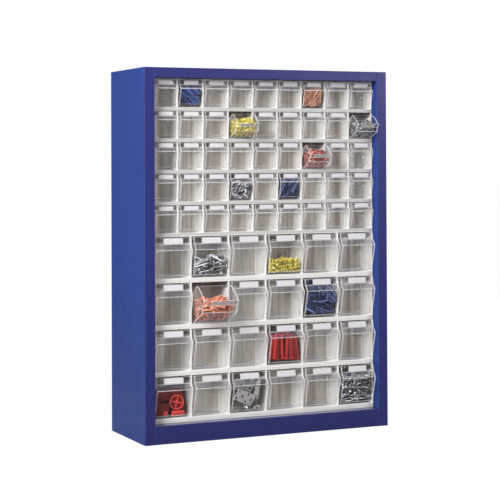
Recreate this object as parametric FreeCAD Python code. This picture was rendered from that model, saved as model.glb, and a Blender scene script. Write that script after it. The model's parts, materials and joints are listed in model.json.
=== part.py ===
import FreeCAD, Part
import math
import os

# Steel small-parts cabinet with nine moulded modules of clear tilt bins stacked in its opening.
# Frame: +Z up, origin at the centre of the cabinet's footprint on the floor, open front
# towards -Y, back panel at +Y.  All sizes in millimetres.

# ---------------------------------------------------------------- cabinet
CAB_W, CAB_H, CAB_D = 660.0, 910.0, 250.0
SHEET = 1.2                    # steel sheet thickness
SEAM = 0.2                     # assembly gap between folded panels
BEND_R = 2.0                   # outside radius of the main folds
INNER_BEND_R = BEND_R - SHEET
EDGE_BEND_R = BEND_R * 0.6     # edges of the opening and bottom front edge of the base pan
POST_W = 27.0                  # width of the folded front posts
RETURN_D = 100.0               # depth of the posts' inner returns and the top rail's return
SIDE_REAR_FLANGE_W = 20.0
TOP_RAIL_H = 24.4              # front rail of the top panel
BOTTOM_RAIL_H = 45.0           # front rail of the base pan
LEDGE_D = 60.0                 # depth of the ledge on top of the bottom rail
LEDGE_LIP_H = 12.0             # lip turned down at the back of the ledge
RAIL_OVERLAP = 2.0             # joins the rail strips to the lid and the base pan
SIDE_FLANGE_H = 17.0           # side flanges of the lid and the base pan
SIDE_FLANGE_FRONT_GAP = 15.0   # from the posts' returns
SIDE_FLANGE_BACK_GAP = 20.0    # from the back of the cabinet
LID_REAR_FLANGE_H, PAN_REAR_FLANGE_H = 17.0, 18.0
REAR_FLANGE_INSET = 22.0       # from each side of the lid or the base pan
WALL_HOLE_R = 4.25
WALL_HOLE_X, WALL_HOLE_Z = (-260.0, 260.0), (90.0, 820.0)

# ---------------------------------------------------------------- modules
RECESS = 26.0                  # module face behind the cabinet's front plane
MOD_W = 603.0
STACK_TOP = 885.0
END_WALL = 2.5
HEAD_H = 2.3
SILL_D = 6.0
FLOOR_T, BACK_T = 2.0, 2.0
RIB_GAP = 0.1                  # between a bin's lug and its stop rib when fully open
RIB_ROOT = 0.5                 # rib sunk into the cell's wall
BOSS_R, BOSS_LEN = 3.8, 8.0    # screw bosses inside the end walls
PILOT_R, PILOT_END = 2.05, 1.5  # blind hole and the material left at its inner end
PIN_CLEARANCE = 0.05           # radial, hinge pin in its hole
ROOT = 0.6                     # pins and lugs sunk into the bin's sides
CARD_T = 0.4
CUT_OVER = 1.0                 # cutting tools reach this far past the surface
CAVITY_OVER = 30.0             # the bin's cavity reaches this far above its front

# Points are (f, u): f forward of the module face, u upward from the top of the sill.
#   divider            thickness of the walls between cells
#   tilt               degrees that an open bin swings forward about the hinge
#   pin_in             length of hinge pin inside the cell's wall
#   plate_half         half width of the bin's front plate
#   body_half          half width of the bin's body
#   front, crown, rear side outline: up the front, back over the upper edge, down to the floor
#   lug                back, front, bottom and top of the side lug, from the hinge
#   card_lo, card_hi   u of the label card's lower and upper edges
SMALL = dict(
    name="small", rows=5, cols=9, height=77.0, depth=50.0, sill=7.0, divider=3.0,
    hinge=(-5.0, 6.0), tilt=51.0, pin_r=1.60, pin_in=1.1,
    plate_half=30.5, body_half=29.2, wall=1.5,
    front=[(-1.5, 1.8), (2.2, 7.5), (12.2, 44.0), (12.2, 46.2), (4.9, 54.6), (4.2, 66.3)],
    crown=[(1.2, 64.6), (-6.5, 63.2), (-15.5, 62.2), (-26.0, 59.2), (-35.5, 54.5)],
    rear=[(-35.5, 5.0), (-32.3, 1.8)],
    lug=(-11.0, -8.0, -1.5, 1.5), lug_w=2.0, screw=(-42.0, 31.0),
    card_w=37.0, card_lo=56.0, card_hi=65.2)
LARGE = dict(
    name="large", rows=4, cols=6, height=113.0, depth=69.0, sill=9.7, divider=3.5,
    hinge=(-3.5, 6.0), tilt=48.0, pin_r=1.80, pin_in=1.3,
    plate_half=46.6, body_half=45.0, wall=1.8,
    front=[(0.0, 1.8), (4.6, 6.0), (20.8, 66.4), (20.8, 69.4), (10.3, 83.6), (8.5, 99.4)],
    crown=[(5.5, 97.5), (-12.0, 97.2), (-26.0, 94.6), (-40.0, 90.0), (-51.3, 83.6)],
    rear=[(-51.3, 6.0), (-47.1, 1.8)],
    lug=(-13.0, -9.0, -2.0, 2.0), lug_w=2.6, screw=(-60.0, 48.0),
    card_w=51.0, card_lo=84.8, card_hi=98.0)

# Rows count from the top, columns from the left (-X), both from 1.
OPEN_AT_REST = {(2, 4), (2, 9), (3, 7), (7, 2)}    # (row, column)
# row: (first, last) columns of bins linked as one group; every other bin swings on its own
GANGS = {3: [(1, 6), (8, 9)], 4: [(1, 3), (7, 9)], 5: [(1, 9)]}

# ---------------------------------------------------------------- fasteners
SCREW_R, SCREW_HEAD_R, SCREW_HEAD_H = 2.0, 4.0, 2.4
SCREW_REACH = 6.5              # tip inside the module's end face
SHANK_ROOT = 0.5               # shank sunk into the head
RECESS_DEPTH, SLOT_HALF_LEN, SLOT_HALF_W = 1.2, 2.2, 0.4    # cross recess in the head
CLEAR_R = 2.2                  # clearance hole for the screw
WASHER_R = 5.0

FRONT_Y, BACK_Y = -CAB_D / 2.0, CAB_D / 2.0
SIDE_X = CAB_W / 2.0
OPEN_X = SIDE_X - POST_W               # half width of the opening
PAN_X = SIDE_X - SHEET - SEAM          # half width of the lid and the base pan
RAIL_X = OPEN_X - SEAM                 # half width of the rails
MOD_X = MOD_W / 2.0
MOD_Y = FRONT_Y + RECESS               # front face of the modules
FLANGE_Y = (BACK_Y - 2 * SHEET, BACK_Y - SHEET)    # rear flanges, against the back panel
Vector = FreeCAD.Vector


# ---------------------------------------------------------------- shape helpers
def box(x0, x1, y0, y1, z0, z1):
    return Part.makeBox(x1 - x0, y1 - y0, z1 - z0, Vector(x0, y0, z0))


def cyl_x(x0, x1, y, z, radius):
    return Part.makeCylinder(radius, x1 - x0, Vector(x0, y, z), Vector(1, 0, 0))


def cyl_y(y0, y1, x, z, radius):
    return Part.makeCylinder(radius, y1 - y0, Vector(x, y0, z), Vector(0, 1, 0))


def extrude_x(outline, x0, x1):
    """Prism between two X planes from an outline in (y, z)."""
    corners = [Vector(x0, y, z) for y, z in outline]
    return Part.Face(Part.makePolygon(corners + corners[:1])).extrude(Vector(x1 - x0, 0, 0))


def side_span(side, xa, xb):
    """X range between two distances from the centre, on side -1 or +1, low end first."""
    return sorted((side * xa, side * xb))


def mirror_x(shape):
    return shape.mirror(Vector(0, 0, 0), Vector(1, 0, 0))


def fuse(shapes):
    return shapes[0].multiFuse(shapes[1:]).removeSplitter()


def fillet(shape, middle, radius):
    """Rounds the straight edges with this (x, y, z) middle; None matches any value."""
    edges = []
    for edge in shape.Edges:
        centre = edge.BoundBox.Center
        found = (centre.x, centre.y, centre.z)
        if all(want is None or abs(want - have) < 0.3 for want, have in zip(middle, found)):
            edges.append(edge)
    return shape.makeFillet(radius, edges)


def one_solid(shape, name):
    solids = shape.Solids
    if len(solids) != 1 or not solids[0].isValid():
        raise ValueError("%s has %d solids" % (name, len(solids)))
    return solids[0]


def save(name, solids):
    shape = solids[0] if len(solids) == 1 else Part.makeCompound(solids)
    shape.exportStep("parts/%s.step" % name)


# ---------------------------------------------------------------- module layout
def stack_modules():
    """(row, spec, z of the underside) of every module, from the top down."""
    stack = []
    base = STACK_TOP
    for spec in (SMALL, LARGE):
        for _ in range(spec["rows"]):
            base -= spec["height"]
            stack.append((len(stack) + 1, spec, base))
    return stack


MODULES = stack_modules()


def cell_width(spec):
    inner = MOD_W - 2 * END_WALL
    return (inner - (spec["cols"] - 1) * spec["divider"]) / spec["cols"]


def column_x(spec, col):
    """Centre of a column; col + 0.5 gives the divider after it."""
    return (col - (spec["cols"] + 1) / 2.0) * (cell_width(spec) + spec["divider"])


def to_yz(points, sill_z=0.0):
    """(f, u) points to (y, z), with the top of the sill at sill_z."""
    return [(MOD_Y - f, sill_z + u) for f, u in points]


def screw_place(spec, base):
    return to_yz([spec["screw"]], base + spec["sill"])[0]


# ---------------------------------------------------------------- sheet-metal shell
def side_panel():
    """Right-hand folded sheet: outer wall, front post face, inner return and rear flange."""
    inside_z = (SHEET + SEAM, CAB_H - SHEET - SEAM)
    panel = fuse([
        box(SIDE_X - SHEET, SIDE_X, FRONT_Y, BACK_Y - SHEET, 0, CAB_H),
        box(OPEN_X, SIDE_X, FRONT_Y, FRONT_Y + SHEET, 0, CAB_H),
        box(OPEN_X, OPEN_X + SHEET, FRONT_Y, FRONT_Y + RETURN_D, *inside_z),
        box(SIDE_X - SIDE_REAR_FLANGE_W, SIDE_X, *FLANGE_Y, *inside_z),
    ])
    panel = fillet(panel, (SIDE_X, FRONT_Y, CAB_H / 2.0), BEND_R)
    panel = fillet(panel, (SIDE_X - SHEET, FRONT_Y + SHEET, CAB_H / 2.0), INNER_BEND_R)
    panel = fillet(panel, (OPEN_X, FRONT_Y, None), EDGE_BEND_R)
    for _, spec, base in MODULES:
        y, z = screw_place(spec, base)
        panel = panel.cut(cyl_x(OPEN_X - CUT_OVER, OPEN_X + SHEET + CUT_OVER, y, z, CLEAR_R))
    return panel


def rear_flange(z0, z1):
    half = PAN_X - REAR_FLANGE_INSET
    return box(-half, half, *FLANGE_Y, z0, z1)


def side_flanges(z0, z1):
    y0 = FRONT_Y + RETURN_D + SIDE_FLANGE_FRONT_GAP
    y1 = BACK_Y - SIDE_FLANGE_BACK_GAP
    return [box(*side_span(side, PAN_X, PAN_X - SHEET), y0, y1, z0, z1) for side in (-1, 1)]


def top_panel():
    """Lid with a front rail and its return, side flanges and a rear flange."""
    rail_z = CAB_H - TOP_RAIL_H
    under = CAB_H - SHEET
    panel = fuse([
        box(-PAN_X, PAN_X, FRONT_Y + SHEET + SEAM, BACK_Y - SHEET, under, CAB_H),
        box(-RAIL_X, RAIL_X, FRONT_Y, FRONT_Y + SHEET + RAIL_OVERLAP, under, CAB_H),
        box(-RAIL_X, RAIL_X, FRONT_Y, FRONT_Y + SHEET, rail_z, CAB_H),
        box(-RAIL_X, RAIL_X, FRONT_Y, FRONT_Y + RETURN_D, rail_z, rail_z + SHEET),
        rear_flange(CAB_H - LID_REAR_FLANGE_H, CAB_H),
    ] + side_flanges(CAB_H - SIDE_FLANGE_H, CAB_H))
    panel = fillet(panel, (0, FRONT_Y, CAB_H), BEND_R)
    panel = fillet(panel, (0, FRONT_Y + SHEET, under), INNER_BEND_R)
    panel = fillet(panel, (0, FRONT_Y, rail_z), EDGE_BEND_R)
    return one_solid(panel, "top panel")


def bottom_panel():
    """Base pan folded up at the front into the bottom rail and back into a ledge."""
    top = BOTTOM_RAIL_H
    ledge_y = FRONT_Y + LEDGE_D
    panel = fuse([
        box(-PAN_X, PAN_X, FRONT_Y + SHEET + SEAM, BACK_Y - SHEET, 0, SHEET),
        box(-RAIL_X, RAIL_X, FRONT_Y, FRONT_Y + SHEET + RAIL_OVERLAP, 0, SHEET),
        box(-RAIL_X, RAIL_X, FRONT_Y, FRONT_Y + SHEET, 0, top),
        box(-RAIL_X, RAIL_X, FRONT_Y, ledge_y, top - SHEET, top),
        box(-RAIL_X, RAIL_X, ledge_y - SHEET, ledge_y, top - LEDGE_LIP_H, top),
        rear_flange(0, PAN_REAR_FLANGE_H),
    ] + side_flanges(0, SIDE_FLANGE_H))
    panel = fillet(panel, (0, FRONT_Y, top), BEND_R)
    panel = fillet(panel, (0, FRONT_Y + SHEET, top - SHEET), INNER_BEND_R)
    panel = fillet(panel, (0, FRONT_Y, 0), EDGE_BEND_R)
    return one_solid(panel, "bottom panel")


def back_panel():
    panel = box(-SIDE_X, SIDE_X, BACK_Y - SHEET, BACK_Y, SEAM, CAB_H - SEAM)
    for x in WALL_HOLE_X:
        for z in WALL_HOLE_Z:
            hole = cyl_y(BACK_Y - SHEET - CUT_OVER, BACK_Y + CUT_OVER, x, z, WALL_HOLE_R)
            panel = panel.cut(hole)
    return one_solid(panel, "back panel")


# ---------------------------------------------------------------- moulded housings
def lug_outline(spec, rise=0.0):
    """(f, u) corners of the closed bin's side lug, raised by rise."""
    back, front, bottom, top = spec["lug"]
    hinge_f, hinge_u = spec["hinge"]
    corners = ((back, bottom), (front, bottom), (front, top), (back, top))
    return [(hinge_f + f, hinge_u + u + rise) for f, u in corners]


def swing(point, spec):
    """Swings an (f, u) point forward about the hinge to the open position."""
    angle = math.radians(spec["tilt"])
    hinge_f, hinge_u = spec["hinge"]
    f, u = point[0] - hinge_f, point[1] - hinge_u
    return (f * math.cos(angle) + u * math.sin(angle) + hinge_f,
            u * math.cos(angle) - f * math.sin(angle) + hinge_u)


def stop_rib_outline(spec):
    """The lug's outline moved just above the lug, then swung to the open position."""
    _, _, bottom, top = spec["lug"]
    return [swing(p, spec) for p in lug_outline(spec, rise=top - bottom + RIB_GAP)]


def housing(spec, base):
    """One-piece moulding: head, sill, floor, back, end walls, dividers, ribs and bosses."""
    top = base + spec["height"]
    sill_z = base + spec["sill"]
    back_y = MOD_Y + spec["depth"]
    parts = [
        box(-MOD_X, MOD_X, MOD_Y, back_y, top - HEAD_H, top),
        box(-MOD_X, MOD_X, MOD_Y, MOD_Y + SILL_D, base, sill_z),
        box(-MOD_X, MOD_X, MOD_Y, back_y, base, base + FLOOR_T),
        box(-MOD_X, MOD_X, back_y - BACK_T, back_y, base, top),
        box(-MOD_X, -MOD_X + END_WALL, MOD_Y, back_y, base, top),
        box(MOD_X - END_WALL, MOD_X, MOD_Y, back_y, base, top),
    ]
    half_divider = spec["divider"] / 2.0
    for col in range(1, spec["cols"]):
        x = column_x(spec, col + 0.5)
        parts.append(box(x - half_divider, x + half_divider, MOD_Y, back_y, base, top))

    rib = to_yz(stop_rib_outline(spec), sill_z)
    half_cell = cell_width(spec) / 2.0
    for col in range(1, spec["cols"] + 1):
        x = column_x(spec, col)
        for side in (-1, 1):
            x0, x1 = side_span(side, half_cell + RIB_ROOT, half_cell - spec["lug_w"])
            parts.append(extrude_x(rib, x + x0, x + x1))

    screw_y, screw_z = screw_place(spec, base)
    boss_x = MOD_X - END_WALL - BOSS_LEN
    for side in (-1, 1):
        parts.append(cyl_x(*side_span(side, MOD_X, boss_x), screw_y, screw_z, BOSS_R))
    body = fuse(parts)
    for side in (-1, 1):
        span = side_span(side, MOD_X + CUT_OVER, boss_x + PILOT_END)
        body = body.cut(cyl_x(*span, screw_y, screw_z, PILOT_R))

    # one long bore makes the hinge holes in every wall
    hinge_y, hinge_z = to_yz([spec["hinge"]], sill_z)[0]
    bore_r = spec["pin_r"] + PIN_CLEARANCE
    bore = cyl_x(-MOD_X - CUT_OVER, MOD_X + CUT_OVER, hinge_y, hinge_z, bore_r)
    return one_solid(body.cut(bore), "housing")


# ---------------------------------------------------------------- tilt bins
def offset_chain(points, distance):
    """Moves an open chain of points sideways, to the left of its direction."""
    lines = []
    for (x0, y0), (x1, y1) in zip(points, points[1:]):
        length = math.hypot(x1 - x0, y1 - y0)
        dx, dy = -(y1 - y0) / length * distance, (x1 - x0) / length * distance
        lines.append(((x0 + dx, y0 + dy), (x1 + dx, y1 + dy)))
    moved = [lines[0][0]]
    # each inner corner is where two neighbouring moved lines cross
    for (a, b), (c, d) in zip(lines, lines[1:]):
        ux, uy = b[0] - a[0], b[1] - a[1]
        vx, vy = d[0] - c[0], d[1] - c[1]
        t = ((c[0] - a[0]) * vy - (c[1] - a[1]) * vx) / (ux * vy - uy * vx)
        moved.append((a[0] + t * ux, a[1] + t * uy))
    return moved + [lines[-1][1]]


def tilt_bin(spec):
    """Closed bin centred on X = 0, with the top of the sill at z = 0."""
    wall, half = spec["wall"], spec["body_half"]
    front, crown, rear = spec["front"], spec["crown"], spec["rear"]
    inner_front = offset_chain(front, wall)
    body = extrude_x(to_yz(front + [inner_front[-1]] + crown + rear), -half, half)

    # hollow: the outline moved in by one wall, open at the top
    inner = offset_chain([crown[-1]] + rear + front, wall)
    cavity_top = front[-1][1] + CAVITY_OVER
    inner[0] = (inner[0][0], cavity_top)
    inner.append((inner[-1][0], cavity_top))
    body = body.cut(extrude_x(to_yz(inner), -half + wall, half - wall))

    plate_half = spec["plate_half"]
    plate = extrude_x(to_yz(front + inner_front[::-1]), -plate_half, plate_half)
    parts = [body, plate]

    hinge_y, hinge_z = to_yz([spec["hinge"]])[0]
    pin_end = cell_width(spec) / 2.0 + spec["pin_in"]
    lug = to_yz(lug_outline(spec))
    for side in (-1, 1):
        pin_span = side_span(side, half - ROOT, pin_end)
        parts.append(cyl_x(*pin_span, hinge_y, hinge_z, spec["pin_r"]))
        parts.append(extrude_x(lug, *side_span(side, half - ROOT, half + spec["lug_w"])))
    return one_solid(fuse(parts), "bin")


def label_card(spec):
    """Card on the sloping strip between the last two points of the bin's front."""
    (f0, u0), (f1, u1) = spec["front"][-2:]
    low, high = spec["card_lo"], spec["card_hi"]
    low_f, high_f = (f0 + (f1 - f0) * (u - u0) / (u1 - u0) for u in (low, high))
    outline = [(low_f, low), (low_f + CARD_T, low), (high_f + CARD_T, high), (high_f, high)]
    half = spec["card_w"] / 2.0
    return one_solid(extrude_x(to_yz(outline), -half, half), "card")


def placed(shapes, spec, row, col, base):
    """Copies of a bin and its card in their cell, tilted if the bin rests open."""
    hinge_y, hinge_z = to_yz([spec["hinge"]])[0]
    copies = []
    for shape in shapes:
        copy = shape.copy()
        if (row, col) in OPEN_AT_REST:
            # a positive turn about +X carries the top of the bin towards the front
            copy.rotate(Vector(0, hinge_y, hinge_z), Vector(1, 0, 0), spec["tilt"])
        copy.translate(Vector(column_x(spec, col), 0, base + spec["sill"]))
        copies.append(copy)
    return copies


def save_bins():
    """One file for each linked group and one for each single bin, cards included."""
    shapes = {spec["name"]: [tilt_bin(spec), label_card(spec)] for spec in (SMALL, LARGE)}
    for row, spec, base in MODULES:
        kind = spec["name"]
        cells = {col: placed(shapes[kind], spec, row, col, base)
                 for col in range(1, spec["cols"] + 1)}
        for first, last in GANGS.get(row, []):
            group = []
            for col in range(first, last + 1):
                group += cells.pop(col)
            save("%s_bins_r%dc%d_to_c%d" % (kind, row, first, last), group)
        for col, solids in cells.items():
            save("%s_bin_r%dc%d" % (kind, row, col), solids)


# ---------------------------------------------------------------- fasteners
def screw(y, z):
    """Right-hand screw, its cross-recessed head against the outer side of the post return."""
    seat = OPEN_X + SHEET
    top = seat + SCREW_HEAD_H
    shank = cyl_x(MOD_X - SCREW_REACH, seat + SHANK_ROOT, y, z, SCREW_R)
    shape = fuse([cyl_x(seat, top, y, z, SCREW_HEAD_R), shank])
    for dy, dz in ((SLOT_HALF_LEN, SLOT_HALF_W), (SLOT_HALF_W, SLOT_HALF_LEN)):
        slot = box(top - RECESS_DEPTH, top + CUT_OVER, y - dy, y + dy, z - dz, z + dz)
        shape = shape.cut(slot)
    return shape


def washer(y, z):
    """Right-hand spacer between the module's end wall and the post return."""
    hole = cyl_x(MOD_X - CUT_OVER, OPEN_X + CUT_OVER, y, z, CLEAR_R)
    return cyl_x(MOD_X, OPEN_X, y, z, WASHER_R).cut(hole)


def on_both_sides(make, name):
    """Left and right copies of a fastener for every module."""
    solids = []
    for _, spec, base in MODULES:
        shape = make(*screw_place(spec, base))
        solids += [one_solid(mirror_x(shape), name), one_solid(shape, name)]
    return solids


def main():
    os.makedirs("parts", exist_ok=True)
    side = side_panel()
    save("left_side_panel", [one_solid(mirror_x(side), "side panel")])
    save("right_side_panel", [one_solid(side, "side panel")])
    save("top_panel", [top_panel()])
    save("bottom_panel", [bottom_panel()])
    save("back_panel", [back_panel()])
    for kind in (SMALL, LARGE):
        housings = [housing(spec, base) for _, spec, base in MODULES if spec is kind]
        save("%s_module_housings" % kind["name"], housings)
    save("module_screws", on_both_sides(screw, "screw"))
    save("module_spacer_washers", on_both_sides(washer, "washer"))
    save_bins()


main()
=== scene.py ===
import bpy
import bmesh
import json
import math
import random
import numpy as np
from mathutils import Matrix, Vector


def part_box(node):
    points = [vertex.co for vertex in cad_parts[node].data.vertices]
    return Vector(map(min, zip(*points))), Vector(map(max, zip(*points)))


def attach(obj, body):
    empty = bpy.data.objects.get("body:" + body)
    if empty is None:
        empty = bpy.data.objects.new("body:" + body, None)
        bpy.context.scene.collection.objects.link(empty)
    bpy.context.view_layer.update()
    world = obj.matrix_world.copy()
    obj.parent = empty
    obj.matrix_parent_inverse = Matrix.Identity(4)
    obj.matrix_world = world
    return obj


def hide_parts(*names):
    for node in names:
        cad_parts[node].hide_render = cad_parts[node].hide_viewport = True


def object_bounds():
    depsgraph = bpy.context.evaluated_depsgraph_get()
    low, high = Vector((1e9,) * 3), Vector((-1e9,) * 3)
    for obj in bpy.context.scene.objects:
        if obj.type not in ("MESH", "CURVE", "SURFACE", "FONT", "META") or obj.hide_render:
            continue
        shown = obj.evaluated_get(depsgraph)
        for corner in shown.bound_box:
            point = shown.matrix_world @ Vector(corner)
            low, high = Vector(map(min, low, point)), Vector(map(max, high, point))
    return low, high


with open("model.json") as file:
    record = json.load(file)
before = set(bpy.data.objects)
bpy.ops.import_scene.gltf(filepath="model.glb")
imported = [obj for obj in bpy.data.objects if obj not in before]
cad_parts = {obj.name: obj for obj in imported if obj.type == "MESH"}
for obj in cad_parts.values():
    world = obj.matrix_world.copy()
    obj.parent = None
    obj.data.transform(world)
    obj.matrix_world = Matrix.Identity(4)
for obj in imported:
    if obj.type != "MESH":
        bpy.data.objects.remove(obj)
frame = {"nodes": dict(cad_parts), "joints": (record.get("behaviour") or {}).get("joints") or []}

CAD_LO, CAD_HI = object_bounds()
scene = bpy.context.scene
MM = 0.001

# ---------------------------------------------------------------- shapes of the two bin sizes
# f runs forward from the housing's face, u up from the sill of its opening, in millimetres
SMALL = dict(
    hinge=(-5.0, 6.0), pin_r=1.60, pin_to=32.95, plate_half=30.5, body_half=29.2, wall=1.5,
    front=[(-1.5, 1.8), (2.2, 7.5), (12.2, 44.0), (12.2, 46.2), (4.9, 54.6), (4.2, 66.3)],
    crown=[(1.2, 64.6), (-6.5, 63.2), (-15.5, 62.2), (-26.0, 59.2), (-35.5, 54.5)],
    rear=[(-35.5, 5.0), (-32.3, 1.8)],
    lug=(-11.0, -8.0, -1.5, 1.5), lug_w=2.0, card_w=37.0, card_lo=56.0, card_hi=65.2)
LARGE = dict(
    hinge=(-3.5, 6.0), pin_r=1.80, pin_to=49.675, plate_half=46.6, body_half=45.0, wall=1.8,
    front=[(0.0, 1.8), (4.6, 6.0), (20.8, 66.4), (20.8, 69.4), (10.3, 83.6), (8.5, 99.4)],
    crown=[(5.5, 97.5), (-12.0, 97.2), (-26.0, 94.6), (-40.0, 90.0), (-51.3, 83.6)],
    rear=[(-51.3, 6.0), (-47.1, 1.8)],
    lug=(-13.0, -9.0, -2.0, 2.0), lug_w=2.6, card_w=49.0, card_lo=84.8, card_hi=98.0)

JOINT = {j["child"]: j for j in frame["joints"]}
FACE_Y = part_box("small_module_housings")[0].y      # plane of the housings' faces


# ---------------------------------------------------------------- material helpers
def new_mat(name):
    m = bpy.data.materials.new(name)
    m.use_nodes = True
    nt = m.node_tree
    nt.nodes.clear()
    out = nt.nodes.new("ShaderNodeOutputMaterial")
    return m, nt, out


def node(nt, kind, **kw):
    n = nt.nodes.new(kind)
    for k, v in kw.items():
        setattr(n, k, v)
    return n


def setv(n, **kw):
    for k, v in kw.items():
        n.inputs[k.replace("_", " ")].default_value = v


def ramp(nt, fac, stops):
    r = nt.nodes.new("ShaderNodeValToRGB")
    el = r.color_ramp.elements
    while len(el) > 2:
        el.remove(el[-1])
    for i, (p, c) in enumerate(stops):
        e = el[i] if i < 2 else el.new(p)
        e.position = p
        e.color = (*c, 1) if len(c) == 3 else c
    nt.links.new(fac, r.inputs["Fac"])
    return r.outputs["Color"]


def coords(nt, scale=(1, 1, 1)):
    tc = nt.nodes.new("ShaderNodeTexCoord")
    mp = nt.nodes.new("ShaderNodeMapping")
    mp.inputs["Scale"].default_value = scale
    nt.links.new(tc.outputs["Object"], mp.inputs["Vector"])
    return mp.outputs["Vector"]


def noise(nt, vec, scale, detail=4.0, rough=0.55):
    n = nt.nodes.new("ShaderNodeTexNoise")
    n.inputs["Scale"].default_value = scale
    n.inputs["Detail"].default_value = detail
    n.inputs["Roughness"].default_value = rough
    nt.links.new(vec, n.inputs["Vector"])
    return n.outputs["Fac"]


def bump(nt, height, strength, dist, normal=None):
    b = nt.nodes.new("ShaderNodeBump")
    b.inputs["Strength"].default_value = strength
    b.inputs["Distance"].default_value = dist
    nt.links.new(height, b.inputs["Height"])
    if normal is not None:
        nt.links.new(normal, b.inputs["Normal"])
    return b.outputs["Normal"]


def math_node(nt, op, a, b=None, clamp=False):
    n = nt.nodes.new("ShaderNodeMath")
    n.operation = op
    n.use_clamp = clamp
    for i, v in enumerate((a, b)):
        if v is None:
            continue
        if isinstance(v, (int, float)):
            n.inputs[i].default_value = v
        else:
            nt.links.new(v, n.inputs[i])
    return n.outputs[0]


def surface(name, dark, light, rough=(0.4, 0.5), scale=60.0, detail=4.0, metallic=0.0, spec=0.5,
            bump_scale=None, bump_strength=0.1, bump_dist=0.0003, stretch=(1, 1, 1), coat=0.0, sub=0.0):
    """A Principled material whose colour and roughness wander between two values, with fine relief."""
    m, nt, out = new_mat(name)
    p = nt.nodes.new("ShaderNodeBsdfPrincipled")
    vec = coords(nt, stretch)
    f = noise(nt, vec, scale, detail)
    nt.links.new(ramp(nt, f, [(0.3, dark), (0.7, light)]), p.inputs["Base Color"])
    r = ramp(nt, noise(nt, vec, scale * 2.3, 3.0), [(0.3, (rough[0],) * 3), (0.7, (rough[1],) * 3)])
    nt.links.new(r, p.inputs["Roughness"])
    p.inputs["Metallic"].default_value = metallic
    p.inputs["Specular IOR Level"].default_value = spec
    p.inputs["Coat Weight"].default_value = coat
    p.inputs["Coat Roughness"].default_value = 0.15
    if sub:
        p.inputs["Subsurface Weight"].default_value = sub
        p.inputs["Subsurface Radius"].default_value = (0.004, 0.0035, 0.003)
    if bump_scale:
        nt.links.new(bump(nt, noise(nt, vec, bump_scale, 2.0), bump_strength, bump_dist), p.inputs["Normal"])
    nt.links.new(p.outputs["BSDF"], out.inputs["Surface"])
    return m


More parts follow.
